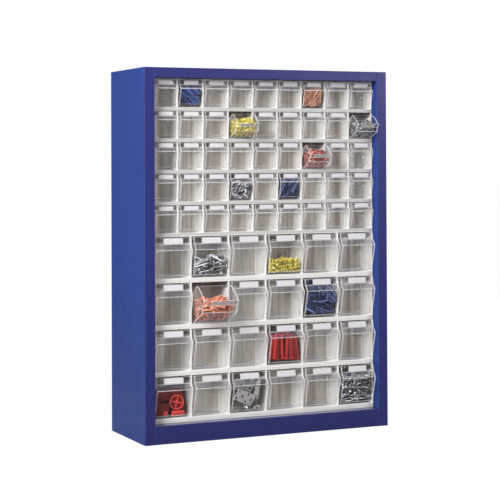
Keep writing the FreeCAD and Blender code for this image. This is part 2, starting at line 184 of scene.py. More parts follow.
def powder_coat():
    """Blue powder coat on steel: orange peel and a slow drift of tone. It also carries painted light: side faces are
    painted lighter and greener than front faces, the colour is painted darker towards the bottom, and the folds are
    paler, partly thinner paint and partly a painted highlight."""
    m, nt, out = new_mat("blue_powder_coat")
    p = nt.nodes.new("ShaderNodeBsdfPrincipled")
    vec = coords(nt)
    slow = noise(nt, vec, 3.0, 3.0, 0.6)
    fine = noise(nt, vec, 260.0, 3.0, 0.6)
    geo = nt.nodes.new("ShaderNodeNewGeometry")
    sn = nt.nodes.new("ShaderNodeSeparateXYZ")
    nt.links.new(geo.outputs["True Normal"], sn.inputs[0])
    # painted light: faces that point along X, the side panels, are painted lighter and greener than the front, for the
    # light that falls on the side
    side = math_node(nt, "POWER", math_node(nt, "ABSOLUTE", sn.outputs["X"]), 2.0, clamp=True)
    front_col = ramp(nt, slow, [(0.3, (0.0155, 0.0205, 0.139)), (0.7, (0.0180, 0.0240, 0.153))])
    painted_side_light_col = ramp(nt, slow, [(0.3, (0.0205, 0.049, 0.222)), (0.7, (0.0235, 0.055, 0.242))])
    col = node(nt, "ShaderNodeMix", data_type="RGBA", blend_type="MIX")
    nt.links.new(side, col.inputs[0])
    nt.links.new(front_col, col.inputs[6])
    nt.links.new(painted_side_light_col, col.inputs[7])
    speck = ramp(nt, fine, [(0.35, (0.93, 0.93, 0.93)), (0.65, (1.05, 1.05, 1.05))])
    sp = nt.nodes.new("ShaderNodeSeparateXYZ")
    nt.links.new(geo.outputs["Position"], sp.inputs[0])
    # painted shade: the colour darkens towards the bottom, to 0.8 at the floor, where the light falls off
    height = node(nt, "ShaderNodeMapRange")
    nt.links.new(sp.outputs["Z"], height.inputs["Value"])
    height.inputs["From Max"].default_value = 0.50
    height.inputs["To Min"].default_value = 0.80
    height.inputs["To Max"].default_value = 1.0
    shade = node(nt, "ShaderNodeMix", data_type="RGBA", blend_type="MULTIPLY")
    shade.inputs[0].default_value = 1.0
    nt.links.new(speck, shade.inputs[6])
    nt.links.new(height.outputs["Result"], shade.inputs[7])
    mul = node(nt, "ShaderNodeMix", data_type="RGBA", blend_type="MULTIPLY")
    mul.inputs[0].default_value = 1.0
    nt.links.new(col.outputs[2], mul.inputs[6])
    nt.links.new(shade.outputs[2], mul.inputs[7])
    # edge mask from the rounded normal
    bev = nt.nodes.new("ShaderNodeBevel")
    bev.samples = 4
    bev.inputs["Radius"].default_value = 0.0016
    dot = node(nt, "ShaderNodeVectorMath", operation="DOT_PRODUCT")
    nt.links.new(bev.outputs["Normal"], dot.inputs[0])
    nt.links.new(geo.outputs["Normal"], dot.inputs[1])
    edge = math_node(nt, "MULTIPLY", math_node(nt, "SUBTRACT", 1.0, dot.outputs["Value"]), 7.0, clamp=True)
    # paler paint on the folds: partly worn, thinner paint and partly a painted highlight where the folds catch the
    # light
    wear_and_painted_highlight = math_node(nt, "MULTIPLY", edge, ramp(nt, noise(nt, vec, 40.0, 5.0, 0.7), [(0.40, (0.35,) * 3), (0.60, (0.95,) * 3)]))
    mix = node(nt, "ShaderNodeMix", data_type="RGBA", blend_type="MIX")
    nt.links.new(wear_and_painted_highlight, mix.inputs[0])
    nt.links.new(mul.outputs[2], mix.inputs[6])
    mix.inputs[7].default_value = (0.12, 0.19, 0.46, 1)
    nt.links.new(mix.outputs[2], p.inputs["Base Color"])
    r = ramp(nt, noise(nt, vec, 22.0, 4.0), [(0.3, (0.34,) * 3), (0.7, (0.44,) * 3)])
    nt.links.new(r, p.inputs["Roughness"])
    spec = node(nt, "ShaderNodeMapRange")
    nt.links.new(side, spec.inputs["Value"])
    spec.inputs["To Min"].default_value = 0.34
    spec.inputs["To Max"].default_value = 0.12
    nt.links.new(spec.outputs["Result"], p.inputs["Specular IOR Level"])
    # the gloss shows on faces that look up, where dust never scuffs the paint
    level = node(nt, "ShaderNodeMapRange", interpolation_type="SMOOTHSTEP")
    nt.links.new(sn.outputs["Z"], level.inputs["Value"])
    level.inputs["From Min"].default_value = 0.85
    level.inputs["From Max"].default_value = 0.97
    level.inputs["To Min"].default_value = 0.04
    level.inputs["To Max"].default_value = 1.0
    # only the low ledge in front of the modules is polished enough to mirror them
    low = math_node(nt, "LESS_THAN", sp.outputs["Z"], 0.12)
    nt.links.new(math_node(nt, "MULTIPLY", level.outputs["Result"], low), p.inputs["Coat Weight"])
    p.inputs["Coat Roughness"].default_value = 0.16
    peel = bump(nt, noise(nt, vec, 420.0, 2.0), 0.10, 0.0002, bev.outputs["Normal"])
    nt.links.new(peel, p.inputs["Normal"])
    nt.links.new(p.outputs["BSDF"], out.inputs["Surface"])
    return m


def clear_plastic(name, haze, tint, rough=0.05, haze_col=(0.72, 0.71, 0.70), slant_haze=0.25, streaks=0.04, painted_sky_reflection=0.0):
    """Thin clear moulded plastic: tinted see-through, a sheen that grows at a slant, and a little milkiness. Faces that
    lean back can get a painted reflection, a thin bluish diffuse layer. Lamps and bounced light pass with the tint
    alone, as through a thin wall."""
    m, nt, out = new_mat(name)
    tr = nt.nodes.new("ShaderNodeBsdfTransparent")
    gl = nt.nodes.new("ShaderNodeBsdfGlossy")
    df = nt.nodes.new("ShaderNodeBsdfDiffuse")
    vec = coords(nt, (1, 1, 0.06))
    wav = noise(nt, vec, 130.0, 3.0, 0.6)
    tcol = ramp(nt, wav, [(0.3, tuple(t * 0.965 for t in tint)), (0.7, tint)])
    nt.links.new(tcol, tr.inputs["Color"])
    df.inputs["Color"].default_value = (*haze_col, 1)
    gl.inputs["Color"].default_value = (0.76, 0.77, 0.82, 1)
    nt.links.new(ramp(nt, noise(nt, coords(nt), 90.0, 3.0), [(0.3, (rough,) * 3), (0.7, (rough * 1.8,) * 3)]), gl.inputs["Roughness"])
    flow = bump(nt, noise(nt, coords(nt, (1, 1, 0.25)), 55.0, 2.0), 0.25, 0.0006)
    nt.links.new(flow, gl.inputs["Normal"])
    lw = nt.nodes.new("ShaderNodeLayerWeight")
    lw.inputs["Blend"].default_value = 0.5
    slant = math_node(nt, "POWER", lw.outputs["Facing"], 4.0)
    sheen = math_node(nt, "ADD", math_node(nt, "MULTIPLY", slant, 0.6), 0.011, clamp=True)
    milk = math_node(nt, "ADD", math_node(nt, "MULTIPLY", math_node(nt, "POWER", lw.outputs["Facing"], 3.0), slant_haze), haze, clamp=True)
    if streaks:
        st = ramp(nt, noise(nt, coords(nt, (1, 1, 0.03)), 210.0, 2.0), [(0.45, (0.0,) * 3), (0.75, (streaks,) * 3)])
        milk = math_node(nt, "ADD", milk, st, clamp=True)
    a = nt.nodes.new("ShaderNodeMixShader")
    nt.links.new(milk, a.inputs[0])
    nt.links.new(tr.outputs[0], a.inputs[1])
    nt.links.new(df.outputs[0], a.inputs[2])
    if painted_sky_reflection:
        # painted reflection: a face that leans back gets a thin bluish diffuse veil that stands in for the light of the
        # room reflected in it
        geo = nt.nodes.new("ShaderNodeNewGeometry")
        sn = nt.nodes.new("ShaderNodeSeparateXYZ")
        nt.links.new(geo.outputs["True Normal"], sn.inputs[0])
        hat = nt.nodes.new("ShaderNodeValToRGB")
        for e, (pos, val) in zip(list(hat.color_ramp.elements) + [hat.color_ramp.elements.new(0.5) for _ in range(2)],
                                 ((0.48, 0.0), (0.76, 0.0), (0.56, 1.0), (0.69, 1.0))):
            e.position = pos
            e.color = (val, val, val, 1)
        nt.links.new(sn.outputs["Z"], hat.inputs["Fac"])
        veil = nt.nodes.new("ShaderNodeBsdfDiffuse")
        veil.inputs["Color"].default_value = (0.42, 0.43, 0.56, 1)
        av = nt.nodes.new("ShaderNodeMixShader")
        nt.links.new(math_node(nt, "MULTIPLY", hat.outputs["Color"], painted_sky_reflection), av.inputs[0])
        nt.links.new(a.outputs[0], av.inputs[1])
        nt.links.new(veil.outputs[0], av.inputs[2])
        a = av
    b = nt.nodes.new("ShaderNodeMixShader")
    nt.links.new(sheen, b.inputs[0])
    nt.links.new(a.outputs[0], b.inputs[1])
    nt.links.new(gl.outputs[0], b.inputs[2])
    ray = nt.nodes.new("ShaderNodeLightPath")
    through = nt.nodes.new("ShaderNodeBsdfTransparent")
    through.inputs["Color"].default_value = (*(0.5 + 0.5 * t for t in tint), 1)
    other = math_node(nt, "MAXIMUM", ray.outputs["Is Shadow Ray"], ray.outputs["Is Diffuse Ray"])
    c = nt.nodes.new("ShaderNodeMixShader")
    nt.links.new(other, c.inputs[0])
    nt.links.new(b.outputs[0], c.inputs[1])
    nt.links.new(through.outputs[0], c.inputs[2])
    nt.links.new(c.outputs[0], out.inputs["Surface"])
    return m


def white_moulding(name, strip_z, face, back):
    """Off-white moulded plastic with painted shade: greyer and streaked down the back of the compartments, darker
    inside the compartments above strip_z, the height behind the bins' label strips, and front faces darkened by face."""
    m, nt, out = new_mat(name)
    p = nt.nodes.new("ShaderNodeBsdfPrincipled")
    vec = coords(nt)
    col = ramp(nt, noise(nt, vec, 14.0, 4.0), [(0.3, (0.865, 0.855, 0.835)), (0.7, (0.90, 0.892, 0.875))])
    # painted shade: deep inside each compartment the faces that look to the front turn a streaked grey, scaled by back,
    # for the shade at the back of the compartments
    streak = noise(nt, coords(nt, (1, 1, 0.04)), 95.0, 4.0, 0.65)
    painted_deep_shade_col = ramp(nt, streak, [(0.36, (0.47 * back, 0.41 * back, 0.355 * back)), (0.5, (0.67 * back, 0.625 * back, 0.58 * back)),
                                 (0.64, (0.86 * back, 0.83 * back, 0.80 * back))])
    tc = nt.nodes.new("ShaderNodeTexCoord")
    sx = nt.nodes.new("ShaderNodeSeparateXYZ")
    nt.links.new(tc.outputs["Object"], sx.inputs[0])
    deep = node(nt, "ShaderNodeMapRange", interpolation_type="SMOOTHSTEP")
    nt.links.new(sx.outputs["Y"], deep.inputs["Value"])
    deep.inputs["From Min"].default_value = 0.022
    deep.inputs["From Max"].default_value = 0.047
    geo = nt.nodes.new("ShaderNodeNewGeometry")
    sn = nt.nodes.new("ShaderNodeSeparateXYZ")
    nt.links.new(geo.outputs["True Normal"], sn.inputs[0])
    facing = math_node(nt, "MULTIPLY", sn.outputs["Y"], -1.0, clamp=True)
    deep_shade_amount = math_node(nt, "MULTIPLY", deep.outputs["Result"], facing)
    mix = node(nt, "ShaderNodeMix", data_type="RGBA", blend_type="MIX")
    nt.links.new(deep_shade_amount, mix.inputs[0])
    nt.links.new(col, mix.inputs[6])
    nt.links.new(painted_deep_shade_col, mix.inputs[7])
    # painted shade: inside the compartments, above strip_z, the colour is darkened to 0.46 for the shade under the
    # head, behind the label strips
    high = node(nt, "ShaderNodeMapRange", interpolation_type="SMOOTHSTEP")
    nt.links.new(sx.outputs["Z"], high.inputs["Value"])
    high.inputs["From Min"].default_value = strip_z - 0.003
    high.inputs["From Max"].default_value = strip_z + 0.003
    inner = node(nt, "ShaderNodeMapRange", interpolation_type="SMOOTHSTEP")
    nt.links.new(sx.outputs["Y"], inner.inputs["Value"])
    inner.inputs["From Min"].default_value = 0.001
    inner.inputs["From Max"].default_value = 0.006
    painted_top_shade = node(nt, "ShaderNodeMix", data_type="RGBA", blend_type="MULTIPLY")
    nt.links.new(math_node(nt, "MULTIPLY", high.outputs["Result"], inner.outputs["Result"]), painted_top_shade.inputs[0])
    nt.links.new(mix.outputs[2], painted_top_shade.inputs[6])
    painted_top_shade.inputs[7].default_value = (0.46, 0.455, 0.455, 1)
    # painted shade: faces on the front plane that look forward are multiplied by face
    outer = node(nt, "ShaderNodeMix", data_type="RGBA", blend_type="MULTIPLY")
    nt.links.new(math_node(nt, "MULTIPLY", facing, math_node(nt, "SUBTRACT", 1.0, inner.outputs["Result"])), outer.inputs[0])
    nt.links.new(painted_top_shade.outputs[2], outer.inputs[6])
    outer.inputs[7].default_value = (face, face * 0.992, face * 0.975, 1)
    nt.links.new(outer.outputs[2], p.inputs["Base Color"])
    nt.links.new(ramp(nt, noise(nt, vec, 30.0, 3.0), [(0.3, (0.36,) * 3), (0.7, (0.5,) * 3)]), p.inputs["Roughness"])
    nt.links.new(bump(nt, noise(nt, vec, 700.0, 2.0), 0.08, 0.0002), p.inputs["Normal"])
    nt.links.new(p.outputs["BSDF"], out.inputs["Surface"])
    return m


def loose(name, dark, light, rough, metallic=0.0, spec=0.5, scale=140.0):
    """Material of loose pieces: colour follows the tone attribute, each piece's own tone mixed in finish_load with
    painted reflection bands where glint is set, plus fine mottling.
    """
    m, nt, out = new_mat(name)
    p = nt.nodes.new("ShaderNodeBsdfPrincipled")
    at = nt.nodes.new("ShaderNodeAttribute")
    at.attribute_name = "tone"
    vec = coords(nt)
    n = noise(nt, vec, scale, 3.0)
    k = math_node(nt, "ADD", math_node(nt, "MULTIPLY", at.outputs["Fac"], 0.75), math_node(nt, "MULTIPLY", n, 0.3))
    mid = tuple(0.78 * a + 0.22 * b for a, b in zip(dark, light))
    nt.links.new(ramp(nt, k, [(0.21, dark), (0.48, mid), (0.80, light)]), p.inputs["Base Color"])
    r = ramp(nt, noise(nt, vec, scale * 3, 2.0), [(0.3, (rough[0],) * 3), (0.7, (rough[1],) * 3)])
    nt.links.new(r, p.inputs["Roughness"])
    p.inputs["Metallic"].default_value = metallic
    p.inputs["Specular IOR Level"].default_value = spec
    nt.links.new(bump(nt, noise(nt, vec, scale * 5, 2.0), 0.15, 0.0002), p.inputs["Normal"])
    nt.links.new(p.outputs["BSDF"], out.inputs["Surface"])
    return m


M = {}
M["blue"] = powder_coat()
# one white plastic in two copies: face and back set their painted shade, the small mouldings' fronts darker than the
# large ones'
M["white_small"] = white_moulding("white_moulding_small", 0.056, 0.62, 1.17)
M["white_large"] = white_moulding("white_moulding_large", 0.085, 0.86, 1.01)
M["clear"] = clear_plastic("clear_bin", 0.003, (0.97, 0.968, 0.965), slant_haze=0.08, streaks=0.009, painted_sky_reflection=0.055)
# the rims and narrow faces take a strong white milkiness: a painted highlight for the light that clear plastic gathers
# at its edges
M["clear_edge"] = clear_plastic("clear_bin_edge", 0.50, (0.93, 0.93, 0.93), haze_col=(0.94, 0.93, 0.93), streaks=0.0)
M["card"] = surface("card_stock", (0.63, 0.62, 0.635), (0.69, 0.68, 0.70), rough=(0.7, 0.85), scale=900.0, spec=0.25,
                    bump_scale=1400.0, bump_strength=0.15, bump_dist=0.0001)
# painted shade: a darker copy of the card stock for the cards of open bins, which tip to face down
M["card_dim"] = surface("card_stock_lit_from_behind", (0.44, 0.455, 0.43), (0.54, 0.555, 0.53), rough=(0.7, 0.85), scale=900.0,
                        spec=0.2, bump_scale=1400.0, bump_strength=0.15, bump_dist=0.0001)
M["zinc"] = surface("zinc_screw", (0.45, 0.46, 0.48), (0.68, 0.69, 0.70), rough=(0.25, 0.42), scale=300.0, metallic=0.9)
M["nylon"] = surface("nylon", (0.68, 0.66, 0.60), (0.76, 0.74, 0.68), rough=(0.4, 0.5), scale=120.0)
M["steel"] = loose("bright_steel", (0.004, 0.005, 0.008), (0.93, 0.94, 0.98), (0.42, 0.58), metallic=0.2, spec=0.3)
M["steel_dark"] = loose("grey_steel", (0.006, 0.007, 0.010), (0.72, 0.73, 0.78), (0.42, 0.58), metallic=0.2, spec=0.3)
M["steel_plate"] = loose("steel_plate", (0.20, 0.197, 0.195), (0.54, 0.53, 0.515), (0.36, 0.5), metallic=0.2)
M["navy"] = loose("navy_plastic", (0.002, 0.004, 0.022), (0.12, 0.18, 0.56), (0.34, 0.48), spec=0.35)
M["blue_pl"] = loose("blue_plastic", (0.003, 0.006, 0.030), (0.19, 0.26, 0.60), (0.34, 0.48), spec=0.35)
M["red_bright"] = loose("bright_red_plastic", (0.30, 0.008, 0.008), (0.84, 0.075, 0.05), (0.34, 0.48))
M["red_dark"] = loose("dark_red_plastic", (0.03, 0.001, 0.001), (0.26, 0.008, 0.006), (0.4, 0.55), spec=0.3)
M["red"] = loose("red_plastic", (0.20, 0.008, 0.008), (1.0, 0.36, 0.27), (0.34, 0.48))
M["red_deep"] = loose("deep_red_plastic", (0.13, 0.004, 0.004), (0.74, 0.045, 0.032), (0.34, 0.48))
M["orange"] = loose("orange_red_plastic", (0.44, 0.10, 0.045), (0.98, 0.42, 0.26), (0.28, 0.42))
M["yellow"] = loose("yellow_plastic", (0.52, 0.41, 0.05), (1.0, 0.95, 0.28), (0.34, 0.48))
M["copper"] = loose("copper_stick", (0.46, 0.21, 0.13), (0.92, 0.55, 0.39), (0.3, 0.45), metallic=0.15)

# ---------------------------------------------------------------- carried-over CAD nodes
for name, ob in frame["nodes"].items():
    if name.endswith("_panel"):
        mat = M["blue"]
    elif name.endswith("housings"):
        mat = M["white_" + name.split("_")[0]]
    elif name == "module_screws":
        mat = M["zinc"]
    elif name == "module_spacer_washers":
        mat = M["nylon"]
    else:
        mat = M["clear"]
    ob.data.materials.clear()
    ob.data.materials.append(mat)


# ---------------------------------------------------------------- bin mesh
def offset_chain(pts, dist):
    """Moves an open chain sideways by dist, to the left of its direction."""
    lines = []
    for (x0, y0), (x1, y1) in zip(pts, pts[1:]):
        l = math.hypot(x1 - x0, y1 - y0)
        nx, ny = -(y1 - y0) / l * dist, (x1 - x0) / l * dist
        lines.append(((x0 + nx, y0 + ny), (x1 + nx, y1 + ny)))
    out = [lines[0][0]]
    for (a, b), (c, d) in zip(lines, lines[1:]):
        den = (b[0] - a[0]) * (d[1] - c[1]) - (b[1] - a[1]) * (d[0] - c[0])
        if abs(den) < 1e-9:
            out.append(b)
            continue
        t = ((c[0] - a[0]) * (d[1] - c[1]) - (c[1] - a[1]) * (d[0] - c[0])) / den
        out.append((a[0] + t * (b[0] - a[0]), a[1] + t * (b[1] - a[1])))
    out.append(lines[-1][1])
    return out


def mesh_from(verts, faces, name):
    me = bpy.data.meshes.new(name)
    me.from_pydata(verts, [], faces)
    me.validate()
    return me


def prism(outline, x0, x1):
    """Closed prism from an outline in (f, u) mm between two X planes, in local metres (y = -f, z = u)."""
    n = len(outline)
    v = [(x0 * MM, -f * MM, u * MM) for f, u in outline] + [(x1 * MM, -f * MM, u * MM) for f, u in outline]
    f = [list(range(n)), list(range(2 * n - 1, n - 1, -1))]
    f += [[i, i + n, (i + 1) % n + n, (i + 1) % n] for i in range(n)]
    return v, f


def lathe_x(profile, cy, cz, seg=28):
    """Solid of revolution about an X axis; profile is [(x, r), ...] in mm from end to end."""
    v, f = [], []
    for x, r in profile:
        for k in range(seg):
            a = 2 * math.pi * k / seg
            v.append((x * MM, cy + r * MM * math.cos(a), cz + r * MM * math.sin(a)))
    for i in range(len(profile) - 1):
        for k in range(seg):
            k2 = (k + 1) % seg
            f.append([i * seg + k, i * seg + k2, (i + 1) * seg + k2, (i + 1) * seg + k])
    f.append(list(range(seg))[::-1])
    f.append([(len(profile) - 1) * seg + k for k in range(seg)])
    return v, f


def temp_object(vf, name):
    me = mesh_from(vf[0], vf[1], name)
    bm = bmesh.new()
    bm.from_mesh(me)
    bmesh.ops.recalc_face_normals(bm, faces=bm.faces)
    bm.to_mesh(me)
    bm.free()
    ob = bpy.data.objects.new(name, me)
    scene.collection.objects.link(ob)
    return ob


def apply_booleans(base, ops):
    """Applies (operation, object) pairs to base with the exact solver, and removes the tools."""
    for i, (op, tool) in enumerate(ops):
        mod = base.modifiers.new("b%d" % i, "BOOLEAN")
        mod.operation = op
        mod.solver = "EXACT"
        mod.object = tool
    dg = bpy.context.evaluated_depsgraph_get()
    me = bpy.data.meshes.new_from_object(base.evaluated_get(dg))
    base.modifiers.clear()
    base.data = me
    for _, tool in ops:
        bpy.data.objects.remove(tool)
    return base


def soften(me, width, angle=25.0, segments=2, narrow=0.0021):
    """Rounds every edge sharper than angle. The rounds and the narrow faces take material 1, the rest material 0."""
    bm = bmesh.new()
    bm.from_mesh(me)
    bmesh.ops.remove_doubles(bm, verts=bm.verts, dist=2e-6)
    bmesh.ops.dissolve_limit(bm, angle_limit=math.radians(0.5), verts=bm.verts, edges=bm.edges)
    for f in bm.faces:
        longest = max(e.calc_length() for e in f.edges)
        f.material_index = 1 if f.calc_area() / longest < narrow and longest > 0.011 else 0
    edges = [e for e in bm.edges if len(e.link_faces) == 2 and e.calc_face_angle(0) > math.radians(angle)]
    bmesh.ops.bevel(bm, geom=edges, offset=width, segments=segments, profile=0.5, affect="EDGES",
                    clamp_overlap=True, material=1)
    bmesh.ops.recalc_face_normals(bm, faces=bm.faces)
    bm.to_mesh(me)
    bm.free()
    return me


def smooth(me, angle=40.0):
    for p in me.polygons:
        p.use_smooth = True
    me.set_sharp_from_angle(angle=math.radians(angle))


def cavity_chain(S):
    chain = [S["crown"][-1]] + S["rear"] + S["front"]
    return offset_chain(chain, S["wall"])


def build_bin_mesh(S, name):
    w = S["wall"]
    front = S["front"]
    inner = offset_chain(front, w)
    # rounded crown: the side walls' top edge as a smooth curve
    outline = list(front) + [inner[-1]] + S["crown"] + S["rear"]
    body = temp_object(prism(outline, -S["body_half"], S["body_half"]), name)
    plate_out = list(front) + inner[::-1]
    plate = temp_object(prism(plate_out, -S["plate_half"], S["plate_half"]), name + "_p")
    cav = cavity_chain(S)
    cav[0] = (cav[0][0], front[-1][1] + 30)
    cav.append((cav[-1][0], front[-1][1] + 30))
    hollow = temp_object(prism(cav, -S["body_half"] + w, S["body_half"] - w), name + "_c")
    body = apply_booleans(body, [("UNION", plate), ("DIFFERENCE", hollow)])
    me = body.data
    bpy.data.objects.remove(body)
    me.materials.clear()
    me.materials.append(M["clear"])
    me.materials.append(M["clear_edge"])
    soften(me, (0.70 if S is LARGE else 0.50) * MM)
    body = bpy.data.objects.new(name + "_b", me)
    scene.collection.objects.link(body)

    def tool(vf, nm, edge):
        ob = temp_object(vf, nm)
        ob.data.materials.append(M["clear"])
        ob.data.materials.append(M["clear_edge"])
        for q in ob.data.polygons:
            q.material_index = 1 if edge else 0
        return ob

    def pair(outline_pts, x0, x1):
        a_v, a_f = prism(outline_pts, x0, x1)
        b_v, b_f = prism(outline_pts, -x1, -x0)
        return a_v + b_v, a_f + [[k + len(a_v) for k in q] for q in b_f]

    ops = []
    hf, hu = S["hinge"]
    b0, b1, a0, a1 = S["lug"]
    lug = [(hf + b, hu + a) for b, a in ((b0, a0), (b1, a0), (b1, a1), (b0, a1))]
    ops.append(("UNION", tool(pair(lug, S["body_half"] - 0.6, S["body_half"] + S["lug_w"]), name + "_l", False)))
    # card retainers: a low sill under the card and a short post at each end
    (f0, u0), (f1, u1) = front[-2], front[-1]

    def strip(u, lift):
        t = (u - u0) / (u1 - u0)
        return (f0 + (f1 - f0) * t + lift, u)

    lo, hi = S["card_lo"], S["card_hi"]
    hw = S["card_w"] / 2 + 0.25
    sill = [strip(lo - 0.95, -0.5), strip(lo - 0.95, 0.7), strip(lo - 0.15, 0.9), strip(lo - 0.15, -0.5)]
    ops.append(("UNION", tool(prism(sill, -hw - 0.9, hw + 0.9), name + "_s", True)))
    post = [strip(lo - 0.6, -0.5), strip(lo - 0.6, 0.85), strip(hi - 1.0, 0.85), strip(hi - 0.5, -0.5)]
    ops.append(("UNION", tool(pair(post, hw, hw + 0.9), name + "_k", True)))
    # moulded beads: along the nose, the foot of the label strip and the bottom, down the plate's sides, round the crown
    g = 1.0 if S is LARGE else 0.8
    rods_v, rods_f = [], []
    for f_, u_, r_ in ((front[3][0] - 0.15, front[3][1] - 0.1, 0.66 * g), (front[4][0] + 0.05, front[4][1] + 0.1, 0.50 * g),
                       (front[1][0] - 0.1, front[1][1] + 0.3, 0.50 * g)):
        ring = [(f_ + r_ * math.cos(math.pi / 4 * k + 0.39), u_ + r_ * math.sin(math.pi / 4 * k + 0.39)) for k in range(8)]
        pv, pf = prism(ring, -S["plate_half"] + 0.7, S["plate_half"] - 0.7)
        n = len(rods_v)
        rods_v += pv
        rods_f += [[k + n for k in q] for q in pf]
    ops.append(("UNION", tool((rods_v, rods_f), name + "_n", True)))
    run = front[1:]
    band = offset_chain(run, -0.34 * g) + offset_chain(run, 0.50 * g)[::-1]
    ops.append(("UNION", tool(pair(band, S["plate_half"] - 0.85 * g, S["plate_half"] + 0.12), name + "_e", True)))
    rim = [(front[-1][0] - w * 1.6, front[-1][1] - 1.2)] + S["crown"][1:] + S["rear"]
    band = offset_chain(rim, -0.26) + offset_chain(rim, 0.48 * g)[::-1]
    ops.append(("UNION", tool(pair(band, S["body_half"] - w - 0.22, S["body_half"] + 0.16), name + "_r", True)))
    body = apply_booleans(body, ops)
    me = body.data
    bpy.data.objects.remove(body)
    bm = bmesh.new()
    bm.from_mesh(me)
    bmesh.ops.remove_doubles(bm, verts=bm.verts, dist=2e-6)
    bmesh.ops.recalc_face_normals(bm, faces=bm.faces)
    bm.to_mesh(me)
    bm.free()
    # pivot stubs with a turned chamfer, let into the side walls
    stub = bpy.data.objects.new(name + "_t", me)
    scene.collection.objects.link(stub)
    for s in (-1, 1):
        x0 = S["body_half"] - 0.7
        prof = [(x0, S["pin_r"]), (S["pin_to"] - 0.4, S["pin_r"]), (S["pin_to"], S["pin_r"] - 0.4)]
        tool = temp_object(lathe_x([(s * x, r) for x, r in prof], -hf * MM, hu * MM), name + "_q")
        tool.data.materials.append(M["clear"])
        tool.data.materials.append(M["clear_edge"])
        stub = apply_booleans(stub, [("UNION", tool)])
    me = stub.data
    bpy.data.objects.remove(stub)
    me.name = name
    smooth(me, 35)
    return me


def me_v(me):
    return [tuple(v.co) for v in me.vertices]


def me_f(me):
    return [list(p.vertices) for p in me.polygons]


def build_card_mesh(S, name, dim=False):
    """Card with rounded corners and a slight bow, lying on the sloping strip."""
    (f0, u0), (f1, u1) = S["front"][-2], S["front"][-1]
    lo, hi, hw = S["card_lo"], S["card_hi"], S["card_w"] / 2
    # dim picks a smaller card in the painted-shade copy of the card stock
    if dim:
        lo, hi, hw = lo + 0.16 * (hi - lo), hi - 0.16 * (hi - lo), hw * 0.93
    nx, nu, t = 14, 4, 0.35
    r = 0.8

    def place(x, u, lift):
        k = (u - u0) / (u1 - u0)
        bow = 0.12 * (1 - (x / hw) ** 2)
        return (x * MM, -(f0 + (f1 - f0) * k + lift + bow) * MM, u * MM)

    v, f = [], []
    for lift in (0.06, 0.06 + t):
        for j in range(nu + 1):
            for i in range(nx + 1):
                x = -hw + 2 * hw * i / nx
                u = lo + (hi - lo) * j / nu
                if i in (0, nx) and j in (0, nu):
                    x += r * 0.3 * (1 if i == 0 else -1)
                    u += r * 0.3 * (1 if j == 0 else -1)
                v.append(place(x, u, lift))
    m = (nx + 1) * (nu + 1)
    for j in range(nu):
        for i in range(nx):
            a = j * (nx + 1) + i
            f.append([a, a + nx + 1, a + nx + 2, a + 1])
            f.append([m + a, m + a + 1, m + a + nx + 2, m + a + nx + 1])
    ring = [i for i in range(nx + 1)] + [(j + 1) * (nx + 1) - 1 for j in range(1, nu + 1)]
    ring += [nu * (nx + 1) + i for i in range(nx - 1, -1, -1)] + [j * (nx + 1) for j in range(nu - 1, 0, -1)]
    for a, b in zip(ring, ring[1:] + ring[:1]):
        f.append([a, b, b + m, a + m])
    me = mesh_from(v, f, name)
    bm = bmesh.new()
    bm.from_mesh(me)
    bmesh.ops.recalc_face_normals(bm, faces=bm.faces)
    bm.to_mesh(me)
    bm.free()
    me.materials.append(M["card_dim" if dim else "card"])
    smooth(me, 30)
    return me


